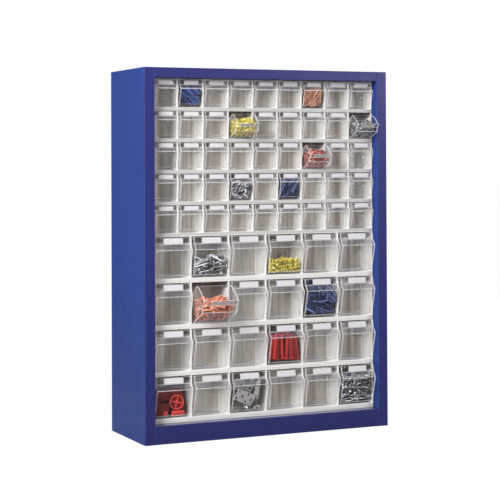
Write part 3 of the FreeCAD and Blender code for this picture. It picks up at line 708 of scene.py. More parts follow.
def build_housing_mesh(S, name, cols, half_w, depth, height, sill, head, divider, end_wall, tilt, boss, foot=0.0):
    """One-piece moulding on a grid of cells: bevelled rails and dividers, floor, back, stop ribs, bores and bosses.
    Local frame as for the bins: y = -f, z = u, the sill of the openings at z = 0."""
    base, top = -sill, height - sill
    z1, z2 = 0.0, top - head
    cell = (2 * half_w - 2 * end_wall - (cols - 1) * divider) / cols
    pitch = cell + divider
    xc = [(c - (cols - 1) / 2) * pitch for c in range(cols)]
    xs = [-half_w]
    for x in xc:
        xs += [x - cell / 2, x + cell / 2]
    xs.append(half_w)
    yb, z3, lip = depth - 2.0, base + 2.0, 6.0
    polys = []
    zs = [base, z1, z2, top]
    for i in range(len(xs) - 1):
        a, b = xs[i], xs[i + 1]
        is_cell = i % 2 == 1
        for j in range(3):
            if not (is_cell and j == 1):
                polys.append([(a, 0, zs[j]), (b, 0, zs[j]), (b, 0, zs[j + 1]), (a, 0, zs[j + 1])])
        polys.append([(a, 0, top), (b, 0, top), (b, depth, top), (a, depth, top)])
        polys.append([(a, 0, base), (a, depth, base), (b, depth, base), (b, 0, base)])
        polys.append([(a, depth, base), (a, depth, top), (b, depth, top), (b, depth, base)])
        if is_cell:
            prof = [(0, z2), (yb, z2), (yb, z3), (lip, z3), (lip, z1), (0, z1)]
            for (y0, u0), (y1, u1) in zip(prof, prof[1:]):
                polys.append([(a, y0, u0), (b, y0, u0), (b, y1, u1), (a, y1, u1)])
            for x in (a, b):
                polys.append([(x, y, u) for y, u in prof])
    for x in (-half_w, half_w):
        polys.append([(x, 0, z) for z in zs] + [(x, depth, top), (x, depth, base)])
    v, f = [], []
    for p in polys:
        f.append(list(range(len(v), len(v) + len(p))))
        v += [(x * MM, y * MM, z * MM) for x, y, z in p]
    me = mesh_from(v, f, name)
    bm = bmesh.new()
    bm.from_mesh(me)
    bmesh.ops.remove_doubles(bm, verts=bm.verts, dist=1e-6)
    bmesh.ops.recalc_face_normals(bm, faces=bm.faces)
    front = [e for e in bm.edges if all(abs(w.co.y) < 1e-6 for w in e.verts)
             and len(e.link_faces) == 2 and e.calc_face_angle(0) > 1.0]
    bmesh.ops.bevel(bm, geom=front, offset=0.75 * MM, segments=3, profile=0.5, affect="EDGES", clamp_overlap=True)
    back = [e for e in bm.edges if all(abs(w.co.y - depth * MM) < 1e-6 for w in e.verts)
            and len(e.link_faces) == 2 and e.calc_face_angle(0) > 1.0]
    bmesh.ops.bevel(bm, geom=back, offset=0.6 * MM, segments=2, profile=0.5, affect="EDGES", clamp_overlap=True)
    bmesh.ops.recalc_face_normals(bm, faces=bm.faces)
    bm.to_mesh(me)
    bm.free()
    ob = bpy.data.objects.new(name, me)
    scene.collection.objects.link(ob)

    def joined(parts, nm):
        vv, ff = [], []
        for pv, pf in parts:
            n = len(vv)
            vv += pv
            ff += [[k + n for k in q] for q in pf]
        return temp_object((vv, ff), nm)

    hf, hu = S["hinge"]
    b0, b1, a0, a1 = S["lug"]
    lo, hi = a1 + 0.12, a1 + 0.12 + (a1 - a0)
    t = math.radians(tilt)
    rib = []
    for bb, aa in ((b0, lo), (b1, lo), (b1, hi), (b0, hi)):
        rib.append((bb * math.cos(t) + aa * math.sin(t) + hf, aa * math.cos(t) - bb * math.sin(t) + hu))
    ribs = []
    for x in xc:
        for s in (-1, 1):
            x0, x1 = sorted((x + s * (cell / 2 + 0.5), x + s * (cell / 2 - S["lug_w"])))
            ribs.append(prism(rib, x0, x1))
    bosses, pilots = [], []
    for s in (-1, 1):
        bosses.append(lathe_x([(s * (half_w - 1.0), 3.8), (s * (half_w - end_wall - boss[2] + 0.5), 3.8),
                               (s * (half_w - end_wall - boss[2]), 3.3)], boss[0] * MM, boss[1] * MM))
        pilots.append(lathe_x([(s * (half_w + 1.0), 2.06), (s * (half_w - end_wall - boss[2] + 1.5), 2.06)],
                              boss[0] * MM, boss[1] * MM))
    bore = lathe_x([(-half_w - 1, S["pin_r"] + 0.065), (half_w + 1, S["pin_r"] + 0.065)], -hf * MM, hu * MM, seg=32)
    ops = [("UNION", joined(ribs, name + "_r")), ("UNION", joined(bosses, name + "_b")),
           ("DIFFERENCE", joined([bore] + pilots, name + "_h"))]
    if foot:
        skirt = [(-0.3, base + 1.2), (-0.3, base - foot + 0.5), (-0.8, base - foot), (-6.0, base - foot), (-6.0, base + 1.2)]
        ops.append(("UNION", temp_object(prism(skirt, -half_w + 0.4, half_w - 0.4), name + "_f")))
    ob = apply_booleans(ob, ops)
    me = ob.data
    bpy.data.objects.remove(ob)
    me.name = name
    me.materials.clear()
    me.materials.append(M["white_small" if S is SMALL else "white_large"])
    smooth(me, 35)
    return me


BIN = {"small": build_bin_mesh(SMALL, "small_bin_mesh"), "large": build_bin_mesh(LARGE, "large_bin_mesh")}
CARD = {"small": build_card_mesh(SMALL, "small_card_mesh"), "large": build_card_mesh(LARGE, "large_card_mesh"),
        "small_open": build_card_mesh(SMALL, "small_card_open_mesh", True),
        "large_open": build_card_mesh(LARGE, "large_card_open_mesh", True)}
SPEC = {"small": SMALL, "large": LARGE}


# ---------------------------------------------------------------- where every bin is
def bin_places():
    """(row, col) -> dict(kind, body, x, sill z, open angle at rest), from the joints and the nodes' boxes."""
    out = {}
    for body, j in JOINT.items():
        kind = body.split("_")[0]
        S = SPEC[kind]
        tag = body.split("_")[2]
        row = int(tag[1])
        first = int(tag.split("c")[1])
        last = int(body.split("_to_c")[1]) if "_to_c" in body else first
        lo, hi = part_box(body)
        n = last - first + 1
        pin_w = 2 * S["pin_to"] * MM
        pitch = ((hi.x - lo.x) - pin_w) / (n - 1) if n > 1 else 0
        hz = j["pos_m"][2]
        angle = -j["range_deg"][0]
        for k in range(n):
            x = (lo.x + hi.x) / 2 + (k - (n - 1) / 2) * pitch
            out[(row, first + k)] = dict(kind=kind, body=body, x=x, z=hz - S["hinge"][1] * MM, open=angle)
    return out


PLACES = bin_places()


def bin_matrix(pl):
    """Bin mesh coordinates (y = -f, z = u) to the row frame, at rest."""
    S = SPEC[pl["kind"]]
    pivot = Vector((0, -S["hinge"][0] * MM, S["hinge"][1] * MM))
    turn = Matrix.Translation(pivot) @ Matrix.Rotation(math.radians(pl["open"]), 4, "X") @ Matrix.Translation(-pivot)
    return Matrix.Translation((pl["x"], FACE_Y, pl["z"])) @ turn


def place_housings(node_name, S, rows, first_row, foot=0.0, **kw):
    """One moulding per row, from the node's box: rows of equal height stacked without a gap. foot is how far a skirt
    under the last row reaches down towards the ledge it stands over."""
    lo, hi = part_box(node_name)
    h = (hi.z - lo.z) / rows / MM
    size = dict(half_w=hi.x / MM, depth=(hi.y - lo.y) / MM, height=h, **kw)
    me = build_housing_mesh(S, node_name + "_mesh", **size)
    last = build_housing_mesh(S, node_name + "_foot_mesh", foot=foot, **size) if foot else me
    for k in range(rows):
        ob = bpy.data.objects.new("housing_row%d" % (first_row + k), last if k == rows - 1 else me)
        scene.collection.objects.link(ob)
        ob.location = (0, lo.y, hi.z - (k + 1) * h * MM + kw["sill"] * MM)
        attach(ob, "cabinet")
        if k == 0:
            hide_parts(node_name)


place_housings("small_module_housings", SMALL, 5, 1, cols=9, sill=7.0, head=2.3, divider=3.0, end_wall=2.5,
               tilt=51.0, boss=(42.0, 31.0, 8.0))
place_housings("large_module_housings", LARGE, 4, 6, cols=6, sill=9.7, head=2.3, divider=3.5, end_wall=2.5,
               tilt=48.0, boss=(60.0, 48.0, 8.0), foot=2.7)

replaced = set()
for (r, c), pl in sorted(PLACES.items()):
    mat = bin_matrix(pl)
    tag = "r%dc%d" % (r, c)
    ob = bpy.data.objects.new("clear_bin_" + tag, BIN[pl["kind"]])
    scene.collection.objects.link(ob)
    ob.matrix_world = mat
    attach(ob, pl["body"])
    if pl["body"] not in replaced:
        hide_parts(pl["body"])
        replaced.add(pl["body"])
    cd = bpy.data.objects.new("label_card_" + tag, CARD[pl["kind"] + ("_open" if pl["open"] > 1 else "")])
    scene.collection.objects.link(cd)
    cd.matrix_world = mat
    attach(cd, pl["body"])

# ---------------------------------------------------------------- what fifteen of the bins hold
def chunk(parts):
    """Joins (verts, faces, material) pieces into one template."""
    v, f, m = [], [], []
    for pv, pf, pm in parts:
        n = len(v)
        v += [tuple(p) for p in pv]
        f += [[k + n for k in q] for q in pf]
        m += [pm] * len(pf)
    return np.array(v, dtype=float), f, m


def turned(profile, seg=10):
    v, f = lathe_x(profile, 0, 0, seg)
    return [(x / MM, y / MM, z / MM) for x, y, z in v], f


def tube(length, r_out, r_in, seg=10):
    prof = [(-length / 2, r_in), (-length / 2, r_out), (length / 2, r_out), (length / 2, r_in)]
    v, f = [], []
    for x, r in prof:
        for k in range(seg):
            a = 2 * math.pi * k / seg
            v.append((x, r * math.cos(a), r * math.sin(a)))
    for i in range(4):
        j = (i + 1) % 4
        for k in range(seg):
            k2 = (k + 1) % seg
            f.append([i * seg + k, i * seg + k2, j * seg + k2, j * seg + k])
    return v, f


def nut(across, thick, bore, seg=12):
    """Hexagon nut with its axis along X and a countersunk hole."""
    v, f = [], []

    def hexr(a):
        b = (a + math.pi / 6) % (math.pi / 3) - math.pi / 6
        return across / 2 / math.cos(b)

    rings = [(-thick / 2 + 0.6, bore, 0), (-thick / 2, bore + 0.5, 0), (-thick / 2, 0.93, 1), (-thick / 2 + 0.5, 1.0, 1),
             (thick / 2 - 0.5, 1.0, 1), (thick / 2, 0.93, 1), (thick / 2, bore + 0.5, 0), (thick / 2 - 0.6, bore, 0)]
    for x, r, kind in rings:
        for k in range(seg):
            a = 2 * math.pi * k / seg
            q = hexr(a) * r if kind else r
            v.append((x, q * math.cos(a), q * math.sin(a)))
    n = len(rings)
    for i in range(n):
        j = (i + 1) % n
        for k in range(seg):
            k2 = (k + 1) % seg
            f.append([i * seg + k, i * seg + k2, j * seg + k2, j * seg + k])
    return v, f


def rounded_bar(length, w0, w1, t, r=1.2):
    """Tapered bar along X with rounded edges: width w0 to w1, thickness t."""
    bm = bmesh.new()
    pts = [(-length / 2, -w0 / 2), (length / 2, -w1 / 2), (length / 2, w1 / 2), (-length / 2, w0 / 2)]
    lo = [bm.verts.new((x, y, -t / 2)) for x, y in pts]
    hi = [bm.verts.new((x, y, t / 2)) for x, y in pts]
    bm.faces.new(lo[::-1])
    bm.faces.new(hi)
    for i in range(4):
        bm.faces.new((lo[i], lo[(i + 1) % 4], hi[(i + 1) % 4], hi[i]))
    bmesh.ops.bevel(bm, geom=bm.edges[:], offset=r, segments=2, profile=0.5, affect="EDGES")
    bmesh.ops.recalc_face_normals(bm, faces=bm.faces)
    v = [tuple(p.co) for p in bm.verts]
    bm.verts.index_update()
    f = [[p.index for p in q.verts] for q in bm.faces]
    bm.free()
    return v, f


def moved(vf, d=(0, 0, 0), rot=None):
    v, f = vf
    out = []
    for p in v:
        q = Vector(p)
        if rot is not None:
            q = rot @ q
        out.append(tuple(q + Vector(d)))
    return out, f


def thread(x0, x1, r, pitch=1.0, depth=0.28):
    """Profile of a threaded shank from x0 to x1."""
    out = []
    n = max(2, int(abs(x1 - x0) / pitch * 2))
    for i in range(n + 1):
        out.append((x0 + (x1 - x0) * i / n, r - (depth if i % 2 else 0)))
    return out


def t_plug(length, r):
    """Ribbed wall plug with a collar, fins and a pointed tip."""
    h = length / 2
    prof = [(-h, r * 0.5), (-h, r * 1.25), (-h + 1.0, r * 1.25), (-h + 1.4, r * 0.92)]
    x = -h + 1.4
    while x < h - length * 0.22:
        prof += [(x + 0.2, r * 0.82), (x + 1.6, r * 1.02), (x + 2.0, r * 0.84)]
        x += 2.2
    prof += [(h - length * 0.18, r * 0.8), (h - 0.6, r * 0.62), (h, r * 0.35)]
    body = turned(prof, 10)
    fin = rounded_bar(length * 0.45, r * 2.9, r * 2.1, 0.9, 0.3)
    return chunk([(*body, 0), (*moved(fin, (-length * 0.05, 0, 0)), 0)]), length, r * 1.3


def t_stick(length, r, head=0):
    h = length / 2
    prof = [(-h, r * 0.6), (-h + 0.3, r), (0, r), (h - 1.5, r), (h, r * 0.25)]
    if head:
        prof = [(-h, head * 0.8), (-h + 0.25, head), (-h + 0.9, head), (-h + 1.3, r)] + prof[2:]
    return chunk([(*turned(prof, 8), 0)]), length, max(r, head * 0.6)


def t_tube(length, r_out, r_in, tail=False):
    parts = [(*tube(length, r_out, r_in), 0)]
    if tail:
        parts.append((*moved(nut(r_out * 2.4, 0.8, r_out * 0.55, 12), (0, 0, 0), Matrix.Rotation(math.pi / 2, 3, "Z")), 1))
        parts[-1] = (*moved((parts[-1][0], parts[-1][1]), (length / 2 + r_out * 1.1, 0, 0)), 1)
    return chunk(parts), length + (2.5 * r_out if tail else 0), r_out


def t_nut(across, thick, bore):
    return chunk([(*nut(across, thick, bore), 0)]), thick, across / 2


def t_bolt(length, r, across):
    h = length / 2
    head = moved(nut(across, across * 0.38, 0.4), (-h + across * 0.19, 0, 0))
    shank = turned([(-h + 1, r)] + thread(-h + across * 0.38, h - 0.8, r) + [(h, r * 0.7)], 10)
    return chunk([(*head, 0), (*shank, 0)]), length, across * 0.42


def t_screw(length, r, head):
    h = length / 2
    prof = [(-h, head * 0.35), (-h + 0.1, head), (-h + 0.7, head * 0.95), (-h + 2.0, r)]
    prof += thread(-h + 3.0, h - 3.0, r, 1.3, 0.32) + [(h, 0.2)]
    return chunk([(*turned(prof, 8), 0)]), length, head * 0.7


def t_clip(length, w0, w1, thick):
    """Tapered moulded clip with two raised ribs and a hooked end."""
    body = rounded_bar(length, w0, w1, thick, 1.4)
    rib = rounded_bar(length * 0.8, 1.8, 1.4, thick + 2.4, 0.5)
    hook = rounded_bar(4.0, w0 + 3.0, w0 + 3.0, thick + 3.0, 1.0)
    return chunk([(*body, 0), (*moved(rib, (0, w1 * 0.28, 0)), 0), (*moved(rib, (0, -w1 * 0.28, 0)), 0),
                  (*moved(hook, (-length / 2 + 1.5, 0, 0)), 0)]), length, max(w0, thick) / 2


def grid_plate(length, width, thick, holes):
    """Flat bracket with round holes through it, built as a ring of quads around each hole."""
    bm = bmesh.new()
    nx, ny = len(holes), len(holes[0])
    cw, ch = length / nx, width / ny
    for i in range(nx):
        for j in range(ny):
            cx, cy = -length / 2 + cw * (i + 0.5), -width / 2 + ch * (j + 0.5)
            r = holes[i][j]
            seg = 12
            outer = []
            for k in range(seg):
                a = 2 * math.pi * (k + 0.5) / seg
                c, s = math.cos(a), math.sin(a)
                q = min(cw / 2 / max(abs(c), 1e-6), ch / 2 / max(abs(s), 1e-6))
                outer.append((cx + q * c, cy + q * s))
            corner = [(cx + cw / 2, cy + ch / 2), (cx - cw / 2, cy + ch / 2), (cx - cw / 2, cy - ch / 2), (cx + cw / 2, cy - ch / 2)]
            for z, flip in ((-thick / 2, True), (thick / 2, False)):
                vo = [bm.verts.new((x, y, z)) for x, y in outer]
                vc = [bm.verts.new((x, y, z)) for x, y in corner]
                if r > 0:
                    vi = [bm.verts.new((cx + r * math.cos(2 * math.pi * (k + 0.5) / seg),
                                        cy + r * math.sin(2 * math.pi * (k + 0.5) / seg), z)) for k in range(seg)]
                    for k in range(seg):
                        k2 = (k + 1) % seg
                        bm.faces.new((vi[k], vo[k], vo[k2], vi[k2]))
                else:
                    bm.faces.new(vo)
                for k in range(seg):
                    k2 = (k + 1) % seg
                    x0, y0 = outer[k]
                    x1, y1 = outer[k2]
                    if abs(x0 - x1) > 1e-6 and abs(y0 - y1) > 1e-6:
                        q = min(range(4), key=lambda w: (corner[w][0] - (x0 + x1) / 2) ** 2 + (corner[w][1] - (y0 + y1) / 2) ** 2)
                        bm.faces.new((vo[k], vc[q], vo[k2]))
                if z < 0:
                    low = (vo, vi if r > 0 else None)
                else:
                    if r > 0:
                        for k in range(seg):
                            k2 = (k + 1) % seg
                            bm.faces.new((low[1][k], low[1][k2], vi[k2], vi[k]))
    bmesh.ops.remove_doubles(bm, verts=bm.verts, dist=1e-4)
    rim = [e for e in bm.edges if e.is_boundary]
    lo = [e for e in rim if e.verts[0].co.z < 0 and e.verts[1].co.z < 0]
    hi = [e for e in rim if e.verts[0].co.z > 0 and e.verts[1].co.z > 0]
    bmesh.ops.bridge_loops(bm, edges=lo + hi)
    bmesh.ops.recalc_face_normals(bm, faces=bm.faces)
    bm.verts.index_update()
    v = [tuple(p.co) for p in bm.verts]
    f = [[p.index for p in q.verts] for q in bm.faces]
    bm.free()
    return v, f


def t_bracket():
    """Angle bracket: a drilled plate with a short leg folded off one end."""
    plate = grid_plate(54, 30, 1.6, [[3.1, 0, 3.1], [0, 3.4, 0], [3.1, 0, 3.1], [0, 3.4, 0]])
    leg = grid_plate(14, 30, 1.6, [[0, 2.4, 0]])
    leg = moved(leg, (26.4, 0, 7.0), Matrix.Rotation(math.pi / 2, 3, "Y"))
    return chunk([(*plate, 0), (*leg, 0)]), 56, 4


def t_knob():
    """Round turned knob: rim, hub and four spokes."""
    ring = moved(tube(7, 15, 12.2, 28), (0, 0, 0))
    hub = turned([(-4, 3.5), (-4, 4.2), (4.5, 4.2), (5.2, 3.4)], 16)
    parts = [(*ring, 1), (*hub, 1)]
    for k in range(2):
        bar = rounded_bar(25.5, 3.2, 3.2, 4.0, 0.6)
        parts.append((*moved(bar, (0, 0, 0), Matrix.Rotation(math.pi / 2 * k + 0.4, 3, "X") @ Matrix.Rotation(math.pi / 2, 3, "Z")), 1))
    parts.append((*moved(turned([(-2.4, 13.0), (-2.4, 13.4), (-1.2, 13.4)], 28), (0, 0, 0)), 0))
    return chunk(parts), 8, 15


def inside(poly, f, u):
    ok = False
    n = len(poly)
    for i in range(n):
        (x0, y0), (x1, y1) = poly[i], poly[(i + 1) % n]
        if (y0 > u) != (y1 > u) and f < (x1 - x0) * (u - y0) / (y1 - y0) + x0:
            ok = not ok
    return ok


def fill(tag, templates, mats, seed, count, level, aim, slope=0.0, packing=0.8, margin=0.35, tries=9000, glint=0.0):
    """Fills a bin with loose pieces, lowest first, each kept inside the walls and clear of the ones before it.
    level: height of the surface above the bin's lowest inside point, in mm, measured level in the room.
    aim(rng) gives a direction for the piece's long axis in (x, forward, up) of the room."""
    rng = random.Random(seed)
    r, c = int(tag[1]), int(tag[3])
    pl = PLACES[(r, c)]
    S = SPEC[pl["kind"]]
    th = math.radians(pl["open"])
    hf, hu = S["hinge"]

    def to_room(f, u):
        b, a = f - hf, u - hu
        return b * math.cos(th) + a * math.sin(th) + hf, a * math.cos(th) - b * math.sin(th) + hu

    def to_bin_dir(d):
        x, F, U = d
        return x, F * math.cos(th) - U * math.sin(th), F * math.sin(th) + U * math.cos(th)

    polys = {}

    def poly_for(m):
        key = round(m, 2)
        if key not in polys:
            chain = [S["crown"][-1]] + S["rear"] + S["front"]
            polys[key] = offset_chain(chain, S["wall"] + margin + m)
        return polys[key]

    wide = S["body_half"] - S["wall"] - margin
    room = [to_room(f, u) for f, u in poly_for(0.0)]
    low = min(U for _, U in room)
    mid = sum(F for F, _ in room) / len(room)
    verts, faces, mat_ids, tones = [], [], [], []
    cloud = np.zeros((0, 4))
    done = 0
    for t in range(tries):
        if done >= count:
            break
        (tv, tf, tm), length, rad = templates[rng.randrange(len(templates))]
        poly = poly_for(rad)
        f = rng.uniform(min(p[0] for p in poly), max(p[0] for p in poly))
        u = rng.uniform(min(p[1] for p in poly), max(p[1] for p in poly))
        F, U = to_room(f, u)
        # rising ceiling: the low places are offered first
        ceiling = level * min(1.0, 0.25 + 1.1 * t / tries) + slope * (F - mid)
        x = rng.uniform(-wide + rad, wide - rad)
        bump_up = 0.06 * level * math.sin(x * 0.11 + seed)
        if U - low > ceiling + bump_up - rad:
            continue
        d = Vector(to_bin_dir(aim(rng))).normalized()
        hl = max(length / 2 - rad, 0.0)
        ends = []
        ok = True
        steps = max(1, int(math.ceil(hl / rad)))
        for s in ([0.0] if hl < 0.8 else [k / steps for k in range(-steps, steps + 1)]):
            px, pf, pu = x + d.x * hl * s, f + d.y * hl * s, u + d.z * hl * s
            if abs(px) > wide - rad or not inside(poly, pf, pu):
                ok = False
                break
            Fs, Us = to_room(pf, pu)
            if Us - low > level + slope * (Fs - mid) + rad * 1.2 + length * 0.10 + bump_up:
                ok = False
                break
            ends.append((px, pf, pu, rad))
        if not ok:
            continue
        e = np.array(ends)
        if len(cloud):
            dist = np.sqrt(((e[:, None, :3] - cloud[None, :, :3]) ** 2).sum(-1))
            if (dist < packing * (e[:, None, 3] + cloud[None, :, 3])).any():
                continue
        cloud = np.vstack([cloud, e])
        done += 1
        axis = Vector((d.x, -d.y, d.z))
        q = axis.to_track_quat("X", "Z").to_matrix() @ Matrix.Rotation(rng.uniform(0, 2 * math.pi), 3, "X")
        R = np.array(q)
        P = tv @ R.T + np.array([x, -f, u])
        n = len(verts)
        verts += [tuple(p * MM) for p in P]
        faces += [[k + n for k in poly_] for poly_ in tf]
        mat_ids += tm
        tones += [rng.random()] * len(tf)
    finish_load(tag, pl, verts, faces, mat_ids, tones, mats, glint)
    return done


def finish_load(tag, pl, verts, faces, mat_ids, tones, mats, glint=0.0):
    """Makes the object. glint mixes each piece's own tone with painted reflections: light and dark bands that follow
    the way its faces point, standing in for a room reflected in polished metal."""
    me = bpy.data.meshes.new("load_" + tag)
    # nothing passes the middle of a side wall or of the bottom: pieces there lie flat against it
    S = LARGE if tag[1] in "6789" else SMALL
    lim, low = (S["body_half"] - 0.6 * S["wall"]) * MM, (S["front"][0][1] + 0.5 * S["wall"]) * MM
    verts = [(min(max(x, -lim), lim), y, max(z, low)) for x, y, z in verts]
    me.from_pydata(verts, [], faces)
    me.polygons.foreach_set("material_index", mat_ids)
    at = me.attributes.new("tone", "FLOAT", "FACE")
    if glint:
        me.update()
        nor = np.empty(len(faces) * 3)
        me.polygons.foreach_get("normal", nor)
        nor = nor.reshape(-1, 3)
        tones = np.array(tones)
        # painted reflection: light and dark bands set by the direction each face points
        band = 0.5 + 0.5 * np.sin(6.5 * nor[:, 0] + 4.0 * nor[:, 1] + 8.5 * nor[:, 2] + 6.2832 * tones * 1.7)
        tones = (1 - glint) * tones + glint * band ** 1.3
    at.data.foreach_set("value", tones)
    for m in mats:
        me.materials.append(M[m])
    smooth(me, 38)
    ob = bpy.data.objects.new("load_" + tag, me)
    scene.collection.objects.link(ob)
    ob.matrix_world = bin_matrix(pl)
    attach(ob, pl["body"])
    return ob


def set_pieces(tag, items, mats, seed):
    """Places a few larger pieces one by one: (template, (x, f, u), rotation matrix in bin axes x, forward, up). A piece
    that would reach into a wall of the bin is moved back to lie against it."""
    rng = random.Random(seed)
    r, c = int(tag[1]), int(tag[3])
    pl = PLACES[(r, c)]
    S = LARGE
    room = S["body_half"] - S["wall"] - 0.3
    (f0, u0), (f1, u1) = S["front"][1], S["front"][2]
    run = math.hypot(f1 - f0, u1 - u0)
    verts, faces, mat_ids, tones = [], [], [], []
    for (tv, tf, tm), at, rot in items:
        R = np.array(rot)
        P = tv @ R.T
        at = list(at)
        at[2] += max(0.0, 3.9 - (P[:, 2].min() + at[2]))
        over = (((P[:, 1] + at[1] - f0) * (u1 - u0) - (P[:, 2] + at[2] - u0) * (f1 - f0)) / run).max() + S["wall"] + 0.3
        at[1] -= max(0.0, over) * run / (u1 - u0)
        at[1] += max(0.0, S["rear"][0][0] + S["wall"] + 0.3 - (P[:, 1].min() + at[1]))
        at[0] += max(0.0, -room - (P[:, 0].min() + at[0])) - max(0.0, P[:, 0].max() + at[0] - room)
        n = len(verts)
        verts += [((p[0] + at[0]) * MM, -(p[1] + at[1]) * MM, (p[2] + at[2]) * MM) for p in P]
        faces += [[k + n for k in q][::-1] for q in tf]
        mat_ids += tm
        tones += [rng.random()] * len(tf)
    return verts, faces, mat_ids, tones, pl


def lying(spread):
    """Mostly level directions with up to spread degrees of rise."""
    def f(rng):
        a = rng.uniform(0, 2 * math.pi)
        e = math.radians(rng.uniform(-spread, spread))
        return math.cos(a) * math.cos(e), math.sin(a) * math.cos(e), math.sin(e)
    return f


def leaning(angle, jitter, depth=12):
    """Directions in the bin's width plane at angle degrees from level, with jitter and a little depth."""
    def f(rng):
        e = math.radians(angle + rng.gauss(0, jitter))
        d = math.radians(rng.gauss(0, depth))
        return math.cos(e) * math.cos(d), math.sin(d), math.sin(e) * math.cos(d)
    return f


def anyway(rng):
    while True:
        d = Vector((rng.uniform(-1, 1), rng.uniform(-1, 1), rng.uniform(-1, 1)))
        if 0.1 < d.length < 1:
            return tuple(d)


fill("r1c2", [t_plug(38, 2.6), t_plug(30, 2.6), t_plug(23, 2.4)], ["navy"], 11, 70, 47, leaning(-38, 11), packing=0.54, glint=0.45)
fill("r1c7", [t_stick(40, 0.85, 1.3), t_stick(30, 0.85, 1.3), t_stick(22, 0.85, 1.3)], ["copper"], 12, 380, 49,
     leaning(60, 16, 8), packing=0.66, tries=8000, glint=0.25)
fill("r2c4", [t_tube(6.5, 2.1, 1.3), t_tube(8.5, 2.1, 1.3)], ["yellow"], 13, 520, 46, anyway, packing=0.78, slope=-0.36,
     tries=8000, glint=0.25)
fill("r2c9", [t_nut(8, 3.2, 2.0), t_bolt(14, 1.8, 6.5), t_tube(1.0, 4.2, 2.1)], ["steel_dark"], 14, 320, 46, anyway,
     packing=0.66, slope=-0.36, tries=8000, glint=0.6)
fill("r3c7", [t_tube(7.5, 2.2, 1.5), t_tube(6.5, 2.0, 1.3, True)], ["red", "steel"], 15, 420, 47, anyway,
     packing=0.70, slope=-0.36, tries=8000, glint=0.5)
fill("r4c4", [t_nut(11.5, 4.5, 3.6)], ["steel_dark"], 16, 150, 47, anyway, packing=0.70, glint=0.35)
fill("r4c6", [t_plug(36, 2.5), t_plug(28, 2.4), t_plug(22, 2.4)], ["blue_pl"], 17, 75, 49, leaning(60, 24), packing=0.54, glint=0.45)
fill("r6c2", [t_bolt(34, 2.4, 8.0), t_screw(38, 2.2, 4.2)], ["steel"], 18, 180, 46, lying(26), packing=0.58, glint=0.7)
fill("r6c4", [t_tube(5.5, 2.1, 1.2), t_tube(7.0, 2.1, 1.2)], ["yellow"], 19, 820, 36, anyway, packing=0.80, tries=8000, glint=0.3)
fill("r7c2", [t_plug(34, 3.2), t_plug(26, 3.1)], ["orange"], 20, 200, 60, lying(50), packing=0.54, slope=-0.22, glint=0.35)
fill("r7c5", [t_plug(50, 3.0), t_plug(40, 2.9), t_plug(28, 2.9)], ["blue_pl"], 21, 170, 80, leaning(-44, 24, 14), packing=0.54, glint=0.5)
fill("r9c6", [t_screw(46, 1.7, 3.2), t_screw(34, 1.7, 3.2)], ["steel"], 32, 400, 76, lying(42), packing=0.58, tries=8000, glint=0.75)

# r8c4: two fans of long tapered clips side by side, dark behind and light in front
clip = t_clip(66, 26, 15, 9)[0]
thin = t_clip(62, 15, 9, 5)[0]
RZ = lambda a: Matrix.Rotation(math.radians(a), 3, "Z")
RY = lambda a: Matrix.Rotation(math.radians(a), 3, "Y")
RX = lambda a: Matrix.Rotation(math.radians(a), 3, "X")
items = []
for k, (x, f, u, a, t) in enumerate((
        (-32, -45, 43, 88, clip), (-14, -46, 44, 90, clip), (13, -46, 44, 90, clip), (33, -45, 44, 92, clip),
        (-36, -34, 42, 86, thin), (36, -32, 42, 95, thin), (5, -22, 43, 88, thin), (-5, -24, 43, 91, thin),
        (37, -12, 42, 91, thin), (36, -3, 40, 97, thin), (30, -6, 41, 93, thin),
        (-24, -40, 44, 84, clip), (3, -41, 45, 91, clip), (28, -39, 44, 96, clip), (-13, -27, 46, 86, clip), (17, -28, 46, 95, clip),
        (-30, -15, 43, 78, thin), (-22, -9, 45, 83, thin), (-13, -13, 46, 88, thin), (-17, -3, 42, 85, thin), (-6, -7, 44, 92, thin),
        (8, -4, 42, 84, thin), (17, -8, 44, 89, thin), (26, -12, 43, 95, thin), (33, -18, 42, 99, thin), (22, -2, 41, 93, thin))):
    items.append((t, (x, f, u), RY(-a) @ RX(4 * ((k * 7) % 5 - 2)) if t is clip else RY(-a) @ RX(3 * ((k * 5) % 5 - 2))))
v_, f_, m_, t_, pl_ = set_pieces("r8c4", items, None, 23)
finish_load("r8c4", pl_, v_, f_, m_, t_, ["red_deep"], 0.30)

# r9c1: boxy red pieces, with a round spoked cap lying against the front; the boxes and the cap's well are painted in a
# near-black red, a painted shade
box_t = chunk([(*rounded_bar(36, 30, 29, 20, 2.2), 0), (*moved(rounded_bar(26, 19, 18, 22, 1.0), (0, 0, 0)), 0)])
cap_ring = moved(tube(4, 18, 15.8, 32), (0, 0, 0))
cap_body = turned([(-20, 15.6), (-20, 16.6), (-3, 17.2), (-2.4, 16.4)], 32)
well = turned([(-2.8, 15.6), (-1.6, 15.7), (-1.4, 15.5)], 32)
cap_parts = [(*cap_ring, 2), (*cap_body, 1), (*well, 0), (*turned([(-2.6, 3.5), (2.4, 3.5), (3.0, 2.6)], 16), 2)]
for k in range(2):
    spoke = rounded_bar(32, 1.8, 1.8, 3.0, 0.5)
    cap_parts.append((*moved(spoke, (0.6, 0, 0), Matrix.Rotation(math.pi / 2 * k + 0.75, 3, "X") @ Matrix.Rotation(math.pi / 2, 3, "Z")), 2))
cap = chunk(cap_parts)
foot = chunk([(*rounded_bar(34, 12, 11, 6, 1.5), 2), (*moved(rounded_bar(22, 5, 5, 8, 1.0), (0, 0, 0)), 1)])
